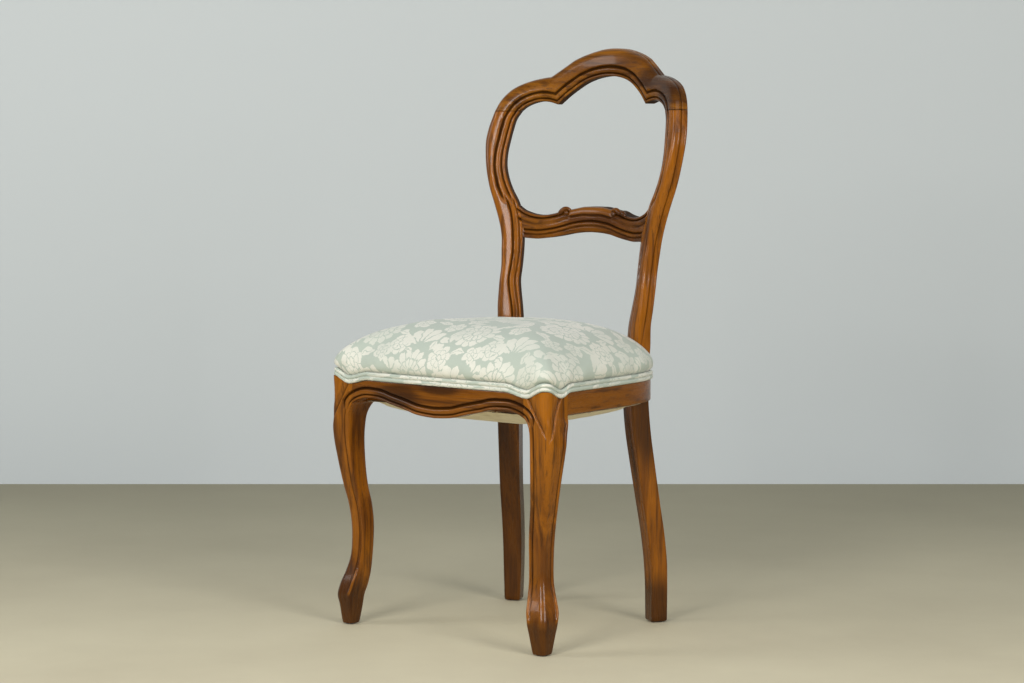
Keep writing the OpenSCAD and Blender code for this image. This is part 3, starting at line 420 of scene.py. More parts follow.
class Nodes:
    """The nodes of one material, with short calls for the usual ones."""

    def __init__(self, name: str) -> None:
        """Start a material with its shader."""
        self.material = bpy.data.materials.new(name)
        self.material.use_nodes = True
        self.tree = self.material.node_tree
        self.shader = next(n for n in self.tree.nodes if n.type == "BSDF_PRINCIPLED")

    def add(self, kind: str, inputs: dict | None = None, **settings: object) -> bpy.types.Node:
        """Add a node.

        Args:
            kind: Its type, without the words that all shader nodes start with.
            inputs: Numbers or values for its inputs, by name or number.
            settings: Its other settings.

        Returns:
            The node.
        """
        made = self.tree.nodes.new(f"ShaderNode{kind}")
        for key, value in settings.items():
            setattr(made, key, value)
        for key, value in (inputs or {}).items():
            self.feed(made.inputs[key], value)
        return made

    def get(self, kind: str, output: str | int, inputs: dict | None = None, **settings: object) -> Value:
        """Add a node and give back one of its outputs."""
        return Value(self, self.add(kind, inputs, **settings).outputs[output])

    def feed(self, socket: bpy.types.NodeSocket, value: object) -> None:
        """Give a socket what it takes in.

        Args:
            socket: The socket.
            value: What other nodes work out, or a number or colour.
        """
        if isinstance(value, Value):
            self.tree.links.new(value.socket, socket)
        else:
            socket.default_value = value

    def math(self, operation: str, *values: object) -> Value:
        """One step of arithmetic."""
        return self.get("Math", 0, dict(enumerate(values)), operation=operation)

    def vector(self, operation: str, *values: object) -> Value:
        """One step of arithmetic on vectors."""
        output = "Value" if operation in ("LENGTH", "DOT_PRODUCT") else "Vector"
        return self.get("VectorMath", output, dict(enumerate(values)), operation=operation)

    def split(self, vector: Value) -> tuple[Value, Value]:
        """The first two parts of a vector."""
        parts = self.add("SeparateXYZ", {"Vector": vector}).outputs
        return Value(self, parts[0]), Value(self, parts[1])

    def place(self, scale: Triple = (1, 1, 1), shift: Triple = (0, 0, 0)) -> Value:
        """Object coordinates, shifted and scaled."""
        inputs = {"Vector": self.get("TexCoord", "Object"), "Location": shift, "Scale": scale}
        return self.get("Mapping", "Vector", inputs)

    def noise(
        self, vector: Value, scale: float, detail: float = 4, rough: float = 0.55, twist: float = 0
    ) -> Value:
        """Noise of one scale, from 0 to 1."""
        inputs = {"Vector": vector, "Scale": scale, "Detail": detail, "Roughness": rough, "Distortion": twist}
        return self.get("TexNoise", "Fac", inputs)

    def ramp(self, factor: Value, stops: list[tuple[float, Colour]]) -> Value:
        """A colour that changes through some stops.

        Args:
            factor: What it changes with.
            stops: Factors, each with the colour there.

        Returns:
            The colour.
        """
        made = self.add("ValToRGB", {"Fac": factor})
        band = made.color_ramp
        while len(band.elements) < len(stops):
            band.elements.new(0.5)
        for element, (at, colour) in zip(band.elements, stops):
            element.position = at
            element.color = (*colour, 1)
        return Value(self, made.outputs["Color"])

    def step(self, value: Value, low: float, high: float) -> Value:
        """Soft step from 0 at low to 1 at high, which may be the lesser one."""
        inputs = {"Value": value, "From Min": low, "From Max": high}
        return self.get("MapRange", "Result", inputs, interpolation_type="SMOOTHSTEP")

    def blend(self, factor: Value, first: object, second: object) -> Value:
        """Mix two colours.

        Args:
            factor: Share of the second colour.
            first: The first colour.
            second: The second colour.

        Returns:
            The mixed colour.
        """
        made = self.add("Mix", {"Factor": factor}, data_type="RGBA")
        sockets = [s for s in made.inputs if s.enabled and s.type == "RGBA"]
        for socket, value in zip(sockets, (first, second)):
            self.feed(socket, value if isinstance(value, Value) else (*value, 1))
        return Value(self, next(s for s in made.outputs if s.type == "RGBA"))

    def bump(self, height: Value, distance: float, strength: float) -> None:
        """Raise the shader's surface by a height."""
        inputs = {"Height": height, "Distance": distance, "Strength": strength}
        self.feed(self.shader.inputs["Normal"], self.get("Bump", "Normal", inputs))

    def shade(self, **values: object) -> bpy.types.Material:
        """Set the shader's inputs and give back the material."""
        sockets = {s.name.lower().replace(" ", "_"): s for s in self.shader.inputs}
        for key, value in values.items():
            self.feed(sockets[key], value)
        return self.material


def tinted(colour: Colour, share: float) -> Colour:
    """A colour made darker or lighter."""
    return tuple(v * share for v in colour)


class Grain(Enum):
    """Direction of the grain of a piece."""

    UPRIGHT = (1, 1, 0)
    ACROSS = (0, 1, 1)
    DEEP = (1, 0, 1)


@dataclass(frozen=True)
class Walnut:
    """Polished walnut, orange brown with dark figure, dark joints, dirt and painted shade in the carving and
    on faces that are given a depth for it, and rubbed edges.
    """

    name: str
    grain: Grain
    shift: Triple = (0.0, 0.0, 0.0)
    light: Colour = (0.30, 0.098, 0.003)
    middle: Colour = (0.15, 0.045, 0.002)
    dark: Colour = (0.034, 0.0100, 0.0008)
    figure: float = 0.6
    patches: tuple[tuple[Triple, Triple], ...] = ()

    def grown(self, n: Nodes, share: float) -> Value:
        """Place in the wood, drawn out along the grain."""
        return n.place(tuple(1.0 if v else share for v in self.grain.value), self.shift)

    def patched(self, n: Nodes, base: Value) -> Value:
        """The colour with dark places in it.

        Args:
            n: The material's nodes.
            base: The colour so far.

        Returns:
            The colour with its patches, whose edges waver.
        """
        waver = n.get("TexNoise", "Color", {"Vector": self.grown(n, 0.12), "Scale": 22.0})
        place = n.vector("ADD", n.place(), n.vector("MULTIPLY", waver, (0.05, 0.05, 0.05)))
        place = n.vector("ADD", place, (-0.025, -0.025, -0.025))
        for middle, radius in self.patches:
            spot = n.vector("MULTIPLY", n.vector("SUBTRACT", place, middle), tuple(1 / r for r in radius))
            base = n.blend(n.step(n.vector("LENGTH", spot), 1.15, 0.55) * 0.78, base, self.dark)
        return base

    def build(self) -> bpy.types.Material:
        """Build the material from nodes."""
        n = Nodes(self.name)
        broad = n.noise(self.grown(n, 0.12), 13, 4, 0.55, 1.6)
        base = n.ramp(
            broad, [(0.30, self.dark), (0.42, self.middle), (0.55, self.light), (0.70, self.middle)]
        )
        streak = n.noise(self.grown(n, 0.035), 150, 5, 0.6, 0.4)
        base = n.blend(n.step(streak, 0.50, 0.66) * 0.62, base, self.dark)
        base = n.blend(n.step(streak, 0.46, 0.34) * 0.35, base, self.light)
        cloud = n.noise(self.grown(n, 0.4), 8, 3, 0.5, 1.0)
        base = n.blend(n.step(cloud, 0.52, 0.70) * self.figure, base, self.dark)
        base = self.patched(n, base)
        pore = n.step(n.noise(self.grown(n, 0.02), 1100, 3, 0.55), 0.56, 0.70)
        base = n.blend(pore * 0.5, base, tinted(self.dark, 0.5))
        depth = n.get("Attribute", "Fac", attribute_name="carving")
        # dirt and painted shade: the deeper the carving, the darker the colour and the duller the coat;
        # joints, the faces inside the opening and the mid rail's back, top and lower faces are given depths
        # for it
        dirt_and_shade = n.step(depth, 0.6, 2.8)
        rubbed = n.step(depth, -0.15, -0.9)
        base = n.blend(dirt_and_shade * 0.86, base, tinted(self.dark, 0.3))
        base = n.blend(rubbed * 0.4, base, tinted(self.light, 1.35))
        n.bump(streak * 0.5 - pore, 0.00006, 0.5)
        clear_of_dirt_and_shade = 1.0 - dirt_and_shade
        return n.shade(
            base_color=base, roughness=streak * 0.16 + 0.2 + dirt_and_shade * 0.35, coat_weight=clear_of_dirt_and_shade * 0.22,
            coat_roughness=0.09, specular_ior_level=clear_of_dirt_and_shade * 0.11 + 0.05,
        )


@dataclass(frozen=True)
class Beech:
    """Plain beech inside the seat."""

    name: str = "inner_beech"

    def build(self) -> bpy.types.Material:
        """Build the material from nodes."""
        n = Nodes(self.name)
        streak = n.noise(n.place((1, 1, 0.1)), 120, 5, 0.6, 0.4)
        fleck = n.step(n.noise(n.place((1, 1, 0.3)), 900, 2), 0.6, 0.72)
        base = n.ramp(streak, [(0.35, (0.42, 0.26, 0.13)), (0.65, (0.66, 0.47, 0.28))])
        base = n.blend(fleck * 0.4, base, (0.3, 0.17, 0.08))
        n.bump(streak, 0.0001, 0.4)
        return n.shade(base_color=base, roughness=0.62)


@dataclass(frozen=True)
class Metal:
    """Steel of the springs, screws, tacks and glides."""

    name: str
    colour: Colour
    rough: float

    def build(self) -> bpy.types.Material:
        """Build the material from nodes."""
        n = Nodes(self.name)
        stain = n.noise(n.place(), 420, 4, 0.6)
        base = n.ramp(stain, [(0.35, tinted(self.colour, 0.55)), (0.6, self.colour)])
        n.bump(stain, 0.00005, 0.4)
        return n.shade(base_color=base, metallic=1.0, roughness=stain * 0.25 + self.rough)


class Weave(Enum):
    """Kind of woven cloth: threads for each metre and how far they stand up."""

    CALICO = (1600.0, 0.00006)
    JUTE = (640.0, 0.0003)
    DAMASK = (1900.0, 0.00006)


def woven(n: Nodes, weave: Weave, vector: Value) -> Value:
    """Height of a weave's threads, from 0 to 1, at map coordinates in metres."""
    waves = [n.math("SINE", part * (weave.value[0] * math.pi)) for part in n.split(vector)]
    return waves[0] * waves[1] * 0.5 + 0.5


@dataclass(frozen=True)
class PlainCloth:
    """Plain woven cloth: calico, canvas or webbing."""

    name: str
    weave: Weave
    colour: Colour
    shadow: Colour
    stripe: Colour | None = None

    def build(self) -> bpy.types.Material:
        """Build the material from nodes."""
        n = Nodes(self.name)
        vector = n.get("UVMap", "UV", uv_map="Map")
        threads = woven(n, self.weave, vector)
        slub = n.noise(n.place(), 60, 5, 0.6)
        base = n.ramp(slub, [(0.3, self.shadow), (0.62, self.colour)])
        base = n.blend(threads * 0.3, base, self.shadow)
        if self.stripe:
            off = abs(n.split(vector)[0] - 0.025)
            band = n.step(off, 0.0165, 0.0172) * n.step(off, 0.0205, 0.0198)
            base = n.blend(band, base, self.stripe)
        n.bump(threads, self.weave.value[1], 0.7)
        return n.shade(base_color=base, roughness=0.9, sheen_weight=0.15, specular_ior_level=0.25)


# Motifs of the damask, in metres within its repeat. A row is what the motif's method of Figure takes.
BLOSSOMS = (
    ((0.048, 0.050), 0.043, 15, 0.3, 0.20),
    ((0.150, 0.143), 0.039, 13, 1.1, 0.24),
    ((0.112, 0.078), 0.025, 7, 0.6, 0.24),
    ((0.008, 0.108), 0.024, 8, 0.1, 0.24),
    ((0.181, 0.092), 0.018, 5, 1.4, 0.36),
    ((0.103, 0.010), 0.018, 5, 2.0, 0.36),
    ((0.088, 0.160), 0.018, 6, 0.4, 0.34),
    ((0.012, 0.170), 0.019, 5, 0.9, 0.36),
    ((0.197, 0.012), 0.015, 5, 0.2, 0.38),
)
FANS = (
    ((0.152, 0.020), 0.050, -1.35, 6.0, 0.24),
    ((0.052, 0.104), 0.046, -1.75, 6.0, 0.26),
    ((0.112, 0.106), 0.026, -2.4, 3.0, 0.42),
    ((0.200, 0.060), 0.022, -0.9, 3.0, 0.42),
)
LEAVES = (
    ((0.146, 0.094), (0.016, 0.0070), -0.2),
    ((0.084, 0.104), (0.013, 0.0060), 1.5),
    ((0.106, 0.042), (0.020, 0.0075), -1.0),
    ((0.190, 0.040), (0.014, 0.0060), 1.3),
    ((0.112, 0.138), (0.014, 0.0065), 1.9),
    ((0.202, 0.138), (0.015, 0.0065), 0.2),
    ((0.054, 0.178), (0.022, 0.0075), 0.3),
    ((0.120, 0.178), (0.015, 0.0065), -0.8),
    ((0.184, 0.182), (0.014, 0.0060), 2.4),
    ((0.036, 0.094), (0.010, 0.0050), 0.2),
    ((0.132, 0.052), (0.012, 0.0055), 0.7),
)


@dataclass(frozen=True)
class Figure:
    """The damask's figure, drawn motif by motif; each says where it shows, from 0 to 1.

    Args:
        n: The material's nodes.
        vector: Map coordinates, in metres.
        repeat: Width and height of the part that repeats.
    """

    n: Nodes
    vector: Value
    repeat: Pair = (0.206, 0.188)

    def local(self, at: Pair, turn: float) -> Value:
        """Place seen from a motif's middle, the same in every repeat, with the motif turned upright.

        Args:
            at: The motif's middle within the repeat.
            turn: How far the motif is turned.

        Returns:
            The place.
        """
        moved = self.n.vector("SUBTRACT", self.vector, (*at, 0.0))
        half = (self.repeat[0] / 2, self.repeat[1] / 2, 1.0)
        spot = self.n.vector("WRAP", moved, half, tinted(half, -1))
        if not turn:
            return spot
        return self.n.get("VectorRotate", 0, {"Vector": spot, "Angle": turn}, rotation_type="Z_AXIS")

    def petals(self, spot: Value, turn: float, lobes: float) -> tuple[Value, Value, Value]:
        """Where a place is on a flower.

        Args:
            spot: The place, seen from the flower's middle.
            turn: How far the petals are turned.
            lobes: Half the number of petals.

        Returns:
            Its distance from the middle, its angle, and how near the middle of a petal it is.
        """
        x, y = self.n.split(spot)
        angle = self.n.math("ARCTAN2", y, x)
        if turn:
            angle = angle + turn
        return self.n.vector("LENGTH", spot), angle, abs(self.n.math("COSINE", angle * lobes))

    def blossom(self, at: Pair, radius: float, petals: int, turn: float, frill: float) -> Value:
        """A round flower with lobed petals, drawn with lines of the ground between them.

        Args:
            at: Its middle within the repeat.
            radius: Its radius.
            petals: Number of petals.
            turn: Turn of the flower, in radians.
            frill: How deep the petals are cut, from 0 to 1.

        Returns:
            Where it shows.
        """
        n = self.n
        far, _, lobe = self.petals(self.local(at, 0.0), turn, petals / 2)
        edge = lobe**0.5 * (radius * frill) + radius * (1 - frill)
        share = far / edge
        line = 0.0005 + radius * 0.014
        gap = n.step(lobe * far * (2 / petals), line, line * 0.5) * n.step(share, 0.28, 0.4)
        ring = n.step(abs(share - 0.62), 0.045, 0.02) * n.step(lobe, 0.25, 0.5)
        eye = n.step(abs(share - 0.22), 0.05, 0.025)
        lines = n.math("MAXIMUM", n.math("MAXIMUM", gap, ring), eye)
        return n.step(edge - far, -0.0004, 0.0006) * (1.0 - lines)

    def fan(self, at: Pair, radius: float, turn: float, lobes: float, cut: float) -> Value:
        """A half open flower, with petals that spread from its foot.

        Args:
            at: Its foot within the repeat.
            radius: Length of its petals.
            turn: Direction in which it opens, in radians.
            lobes: Petals in half a turn.
            cut: How deep the petals are cut, from 0 to 1.

        Returns:
            Where it shows.
        """
        n = self.n
        far, angle, lobe = self.petals(self.local(at, turn), 0.0, lobes)
        edge = lobe**0.6 * (radius * cut) + radius * (1 - cut)
        inside = n.step(edge - far, -0.0004, 0.0006) * n.step(abs(angle), 1.34, 1.28)
        gap = n.step(lobe * far * (1 / lobes), 0.0015, 0.0008) * n.step(far, radius * 0.9, radius * 0.6)
        return inside * n.step(far, radius * 0.14, radius * 0.2) * (1.0 - gap)

    def leaf(self, at: Pair, size: Pair, turn: float) -> Value:
        """A pointed leaf with a midrib.

        Args:
            at: Its middle within the repeat.
            size: Half its length and half its width.
            turn: Turn of the leaf, in radians.

        Returns:
            Where it shows.
        """
        n = self.n
        x, y = n.split(self.local(at, turn))
        along = x / size[0]
        off = abs(y + along * along * (size[1] * 0.5))
        belly = (1.0 - along * along) * size[1]
        rib = n.step(off, 0.0009, 0.0004) * n.step(along, 0.75, 0.6)
        return n.step(belly - off, -0.0003, 0.0005) * (1.0 - rib)


@dataclass(frozen=True)
class Damask:
    """Sage damask with a cream figure of blossoms, open flowers, fans and leaves."""

    name: str = "seat_damask"
    ground: Colour = (0.475, 0.535, 0.46)
    figure: Colour = (0.76, 0.75, 0.66)

    def build(self) -> bpy.types.Material:
        """Build the material from nodes."""
        n = Nodes(self.name)
        vector = n.get("UVMap", "UV", uv_map="Map")
        wobble = n.get("TexNoise", "Color", {"Vector": vector, "Scale": 85.0, "Detail": 3.0})
        wobble = n.vector("MULTIPLY", n.vector("SUBTRACT", wobble, (0.5, 0.5, 0.5)), (0.013, 0.013, 0.0))
        drawn = Figure(n, n.vector("ADD", vector, wobble))
        shown = 0.0
        for draw, rows in ((drawn.blossom, BLOSSOMS), (drawn.fan, FANS), (drawn.leaf, LEAVES)):
            for row in rows:
                shown = n.math("MAXIMUM", shown, draw(*row))
        worn = n.step(n.noise(vector, 260, 3, 0.6), 0.56, 0.72)
        # painted sheen: in broad patches the figure fades towards the ground; small worn spots fade it as
        # well
        sheen = n.step(n.noise(vector, 6.5, 2, 0.5), 0.44, 0.60)
        shown = shown * (1.0 - worn * 0.35) * (1.0 - sheen * 0.38)
        threads = woven(n, Weave.DAMASK, vector)
        slub = n.noise(n.vector("MULTIPLY", vector, (1.0, 7.0, 1.0)), 330, 4, 0.6)
        ground = n.blend(slub * 0.4, self.ground, tinted(self.ground, 0.82))
        figure = n.blend(slub * 0.35, self.figure, tinted(self.figure, 0.88))
        base = n.blend(shown, ground, figure)
        base = n.blend(threads * 0.16, base, tinted(self.ground, 0.7))
        n.bump(threads + slub, 0.0001, 0.5)
        return n.shade(
            base_color=base, roughness=0.66 - shown * 0.14, sheen_weight=0.25, sheen_roughness=0.4,
            specular_ior_level=0.35,
        )


class Finishes:
    """All the finishes of the chair, made once."""

    def __init__(self) -> None:
        """Build each material."""
        self.post = Walnut(
            "walnut_posts", Grain.UPRIGHT, (0.3, 0.1, 0.0), light=(0.285, 0.09, 0.002),
            patches=(
                ((-0.158, 0.15, 0.17), (0.06, 0.16, 0.27)), ((0.158, 0.15, 0.34), (0.03, 0.1, 0.1)),
                ((-0.115, 0.16, 0.60), (0.02, 0.1, 0.03)), ((0.158, 0.14, 0.01), (0.06, 0.1, 0.07)),
            ),
        ).build()
        self.crest = Walnut(
            "walnut_crest", Grain.ACROSS, (0.7, 0.4, 0.2), (0.24, 0.085, 0.004), (0.12, 0.038, 0.0015),
            figure=0.7,
            patches=(((0.125, 0.19, 0.905), (0.055, 0.1, 0.03)), ((0.165, 0.19, 0.862), (0.035, 0.1, 0.025))),
        ).build()
        self.mid = Walnut(
            "walnut_mid_rail", Grain.ACROSS, (1.3, 0.2, 0.6), (0.19, 0.062, 0.003), (0.095, 0.028, 0.0015),
            figure=0.7,
        ).build()
        self.leg = Walnut(
            "walnut_legs", Grain.UPRIGHT, (0.9, 0.6, 0.3), figure=0.35,
            patches=(
                ((0.205, -0.215, 0.02), (0.035, 0.05, 0.06)), ((-0.215, -0.2, 0.03), (0.04, 0.05, 0.09)),
            ),
        ).build()
        self.apron = Walnut(
            "walnut_front_rail", Grain.ACROSS, (0.2, 0.9, 0.5), (0.23, 0.074, 0.003), (0.12, 0.035, 0.0015),
            patches=(
                ((-0.075, -0.225, 0.392), (0.062, 0.1, 0.02)), ((0.02, -0.225, 0.402), (0.05, 0.1, 0.012)),
            ),
        ).build()
        self.side = Walnut(
            "walnut_side_rails", Grain.DEEP, (0.5, 0.3, 0.8), light=(0.235, 0.077, 0.003), figure=0.3,
        ).build()
        self.beech = Beech().build()
        self.steel = Metal("spring_steel", (0.52, 0.50, 0.46), 0.3).build()
        self.dark_steel = Metal("dark_steel", (0.20, 0.20, 0.21), 0.38).build()
        self.damask = Damask().build()
        self.calico = PlainCloth("cream_calico", Weave.CALICO, (0.80, 0.72, 0.52), (0.68, 0.60, 0.42)).build()
        self.canvas = PlainCloth("jute_canvas", Weave.JUTE, (0.46, 0.34, 0.19), (0.28, 0.19, 0.09)).build()
        self.webbing = PlainCloth(
            "jute_webbing", Weave.JUTE, (0.52, 0.40, 0.24), (0.30, 0.21, 0.11), (0.22, 0.08, 0.05),
        ).build()


# The back


# Depth of the moulding round the opening and below the seat, at distances from its edge.
MOULDING = spline_table([
    (0.0, 1.9), (0.7, 0.95), (2.2, 0.45), (3.7, 0.9), (4.6, 2.3), (5.4, 3.0), (6.2, 2.2), (7.6, 0.85),
    (10.4, 0.25), (13.2, 0.95), (14.7, 2.7), (15.9, 3.6), (17.2, 3.0), (18.4, 1.3), (19.2, 0.15),
    (20.5, -0.15), (24.0, 0.0), (400.0, 0.0),
])


@dataclass
class BackShape:
    """Lines that the posts, the crest rail and the mid rail share.

    Columns of the tables:
        stations: Height on a post, sweep to the back, outer edge, inner edge, depth and crown.
        crest_low, crest_high: Place across and up of the outer edge, then of the inner edge, as
            shares of joint_x and crest_h.
        mid_rows: Share of the way to the post, then lower and upper edge as shares of mid_h.
    """

    foot: Pair = (160.5, 140.505)
    turn: float = math.radians(28)
    joint_z: float = 848.0
    joint_x: float = 198.914
    crest_h: float = 105.5
    crest_y: float = 195.1
    rake: float = 0.18
    radius: float = 335.0
    mid_base: float = 631.08
    mid_h: float = 57.0
    stile_d: float = 21.9
    stations: Rows = (
        (2, -14.1, 11.46, -16.59, 27.9, 0), (20.6, -14.1, 11.85, -17.38, 27.9, 0),
        (61.5, -14.1, 13.04, -18.96, 27.6, 0), (98.7, -16.03, 13.43, -19.75, 28.8, 0),
        (143.4, -21.03, 14.22, -20.15, 29.1, 0), (202.9, -31.04, 15.4, -20.15, 29.4, 0),
        (262.4, -40.67, 15.21, -21.53, 30.3, 0), (321.9, -49.14, 15.01, -23.3, 30.6, 0),
        (374, -52.6, 15.01, -24.49, 30, 0), (421, -52.6, 15.01, -24.49, 30, 0),
        (459.4, -46.6, 17.11, -24.76, 26.1, 2), (497.9, -42.13, 17.81, -25.25, 22.5, 4),
        (519.2, -38.59, 18.51, -22.97, 21.9, 4), (538.9, -35.59, 17.7, -20.2, 21.9, 4),
        (559.8, -32.59, 16.59, -18.57, 21.9, 4), (579.8, -29.59, 14.66, -20.5, 21.9, 4),
        (611, -25.12, 15.01, -22.5, 21.9, 4), (631.1, -22.12, 15.54, -22.58, 21.9, 4),
        (693, -12.58, 31.81, -10.85, 21.9, 4), (713.1, -8.91, 39.02, 0.31, 21.9, 4),
        (734, -5.11, 44.41, 8.66, 21.9, 4), (754.1, -1.91, 47.91, 12.76, 21.9, 4),
        (775, 1.69, 49.66, 12.33, 21.9, 4), (795.9, 5.23, 50.01, 8.54, 21.9, 4),
        (816, 8.7, 46.51, 3.85, 21.9, 4), (835.2, 11.9, 40.56, -2.3, 21.9, 4),
        (848, 14.1, 36.01, -11, 21.9, 4),
    )
    crest_low: Rows = (
        (1.0, 0.0, 0.7912, 0.0), (0.966, 0.161, 0.754, 0.066), (0.925, 0.276, 0.719, 0.104),
        (0.87, 0.373, 0.674, 0.137), (0.80, 0.446, 0.628, 0.154), (0.723, 0.498, 0.591, 0.153),
        (0.649, 0.531, 0.543, 0.14), (0.576, 0.553, 0.481, 0.104),
    )
    crest_high: Rows = (
        (0.576, 0.553, 0.481, 0.104), (0.49, 0.671, 0.395, 0.259), (0.427, 0.758, 0.332, 0.351),
        (0.372, 0.828, 0.272, 0.427), (0.282, 0.90, 0.216, 0.479), (0.19, 0.953, 0.151, 0.519),
        (0.096, 0.989, 0.075, 0.546), (0.0, 1.0, 0.0, 0.555), (-0.096, 0.989, -0.075, 0.546),
    )
    mid_rows: Rows = (
        (0, 0.21, 0.965), (0.15, 0.195, 0.953), (0.28, 0.165, 0.895), (0.34, 0.145, 0.868),
        (0.4, 0.115, 0.86), (0.45, 0.09, 0.835), (0.52, 0.06, 0.775), (0.6, 0.03, 0.728), (0.7, 0, 0.693),
        (0.8, -0.02, 0.70), (0.9, -0.01, 0.77), (0.96, 0.0, 0.85), (1, 0.02, 0.96),
    )

    def __post_init__(self) -> None:
        """Work out the smooth lines and the edge of the opening."""
        self.back_dir = heading(self.turn)
        self.side_dir = heading(self.turn + math.pi / 2)
        self.post = spline_table(self.stations)
        self.mid = spline_table(self.mid_rows)
        self.crest = self.crest_path()
        shares = np.linspace(0, 1, 60)
        heights = self.mid_base + self.mid_h * self.mid(shares)[:, 1]
        top = [(self.mid_seat(z)[0] * share, z) for share, z in zip(shares, heights)]
        edge = [(self.mid_seat(z)[0], z) for z in np.linspace(690, self.joint_z, 60)]
        crest = [(self.joint_x * row[2], self.joint_z + self.crest_h * row[3]) for row in self.crest[1:]]
        line = np.array(top + edge + crest)
        self.opening = np.column_stack([self.unroll(line[:, 0]), line[:, 1]])

    def unroll(self, x: np.ndarray) -> np.ndarray:
        """Length along the curve of the back, from its middle to a place across."""
        x = np.abs(x)
        return x + x**3 / (6 * self.radius**2)

    def post_point(self, z: float, back: float, out: float) -> np.ndarray:
        """A point of the right post: its height, and how far back and out it is from the face."""
        sweep = self.post(z)[0][0]
        plan = (sweep + back) * self.back_dir + out * self.side_dir
        return np.array([self.foot[0] + plan[0], self.foot[1] + plan[1], z])

    def crest_path(self) -> np.ndarray:
        """Rows of the crest's outline from the joint to the middle, with its corners kept."""
        rows = []
        for table, last in ((self.crest_low, -1), (self.crest_high, -2)):
            points = np.asarray(table, float)
            at = run_length(points)
            rows.append(Spline(at, points)(np.linspace(0, at[last], 56)))
        return np.vstack([rows[0], rows[1][1:]])

    def crest_point(self, across: float, up: float) -> np.ndarray:
        """A point of the crest's face, from its shares across and up."""
        x, rise = self.joint_x * across, self.crest_h * up
        return np.array([x, self.crest_y - x * x / (2 * self.radius) + rise * self.rake, self.joint_z + rise])

    def mid_seat(self, z: float) -> np.ndarray:
        """Point of the right post's inner edge, where the mid rail meets it."""
        return self.post_point(z, 0, self.post(z)[0][2])

    def mid_points(self, z: np.ndarray, share: float) -> np.ndarray:
        """Points of the mid rail's plain face at some heights, a share of the way to the post."""
        rows = self.post(z)
        x, y = (self.foot[i] + rows[:, 0] * self.back_dir[i] + rows[:, 2] * self.side_dir[i] for i in (0, 1))
        return np.column_stack([x * share, y + x**2 * (1 - share**2) / (2 * self.radius), z])

    def carve(self, x: np.ndarray, z: np.ndarray) -> np.ndarray:
        """Depth of the moulding round the opening at places of the face."""
        return MOULDING(distance_to(np.column_stack([self.unroll(x), z]), self.opening))[:, 0]

    def carve_low(self, off: np.ndarray, z: float) -> np.ndarray:
        """Depth of the two grooves that run down the stile.

        Args:
            off: Places, as lengths from the stile's inner edge.
            z: Their height.

        Returns:
            The depths.
        """
        wave = 0.9 * math.sin(z / 17.0) * smooth(640, 600, z)
        first = 2.2 * hump(off, 5.4 + wave, 2.2)
        second = 2.9 * hump(off, 16.2 + wave, 2.6)
        return np.maximum(first, second) + np.clip(1.6 - off, 0, None) * 0.9 * (1 - smooth(618, 628, z))


SECTION_EDGE = 21.0  # width of the face beside the opening that has rows close enough for carving
REVEAL_SHADE = 2.4  # depth that the finish takes the faces inside the opening, and the mid rail's back, top and lower faces, to lie at, which darkens them with painted shade
SEAM_DIRT_AND_SHADE = 3.2  # the same for joints, which are dark, and for the rings round the rosettes, where it paints shade
ROUND = 2.2  # width of the rounded rear corners of a section
CUT_OFF = 0.65  # how far their middle lies inside the square corner


def frame_section(
    inner: np.ndarray, outer: np.ndarray, back: np.ndarray, deep: float, crown: float
) -> tuple[np.ndarray, np.ndarray]:
    """Section of a stile or the crest rail.

    Args:
        inner: Front point at the opening's side.
        outer: Front point at the outside.
        back: Direction to the back.
        deep: Depth of the section.
        crown: How far the face is crowned.

    Returns:
        The points in order round the section, and two rows of numbers: how far each front point
        is from the inner edge, with -1 for the others, and the depth that the finish takes each
        point to lie at before the face is carved.
    """
    wide = float(np.linalg.norm(outer - inner))
    along = (outer - inner) / wide
    open_share = crown / 4.0
    side = 2.5 + (0.28 * deep - 2.5) * open_share
    knots = np.array([
        (0, 0.0), (0.12, -0.3 * crown), (0.3, -0.75 * crown), (0.58, -crown), (0.78, -0.86 * crown),
        (0.9, -0.42 * crown), (0.965, 0.3 * side), (1, side),
    ]) * [wide, 1]
    knots[5:7, 1] = knots[5:7, 1] * open_share + np.array([0.0, 0.25 * side]) * (1 - open_share)
    at = run_length(knots)
    dense = Spline(at, knots)(np.linspace(0, at[-1], 160))
    dense[:, 0] = np.maximum.accumulate(np.clip(dense[:, 0], 0, wide))
    near = np.linspace(0.0, SECTION_EDGE, 29)
    rest = SECTION_EDGE + (wide - SECTION_EDGE) * np.sin(np.linspace(0, math.pi / 2, 17)[1:])
    s_front = np.concatenate([near, rest])
    r_front = np.interp(s_front, dense[:, 0], dense[:, 1])
    r_front[-1] = side
    r_side = np.linspace(side, deep - ROUND, 18)[1:]
    groove = open_share * 1.9 * hump(r_side, side + 4.6, 1.7)
    groove += open_share * 0.5 * hump(r_side, deep - 4.4, 0.9)
    s_side = wide - groove
    reveal = np.column_stack([np.zeros(9), np.linspace(deep - ROUND, 2.8, 9)])
    flat = np.vstack([
        np.column_stack([s_front, r_front]), np.column_stack([s_side, r_side]),
        [(wide - CUT_OFF, deep - CUT_OFF)],
        [(s, deep) for s in np.linspace(wide - ROUND, ROUND, 8)], [(CUT_OFF, deep - CUT_OFF)], reveal,
    ])
    places = np.concatenate([s_front, np.full(len(flat) - len(s_front), -1.0)])
    points = inner + flat[:, :1] * along + flat[:, 1:] * back
    depth = np.zeros(len(flat))
    depth[len(s_front):len(s_front) + len(s_side)] = groove
    # the faces inside the opening get painted shade
    depth[-len(reveal):] = REVEAL_SHADE
    return points, np.vstack([places, depth])


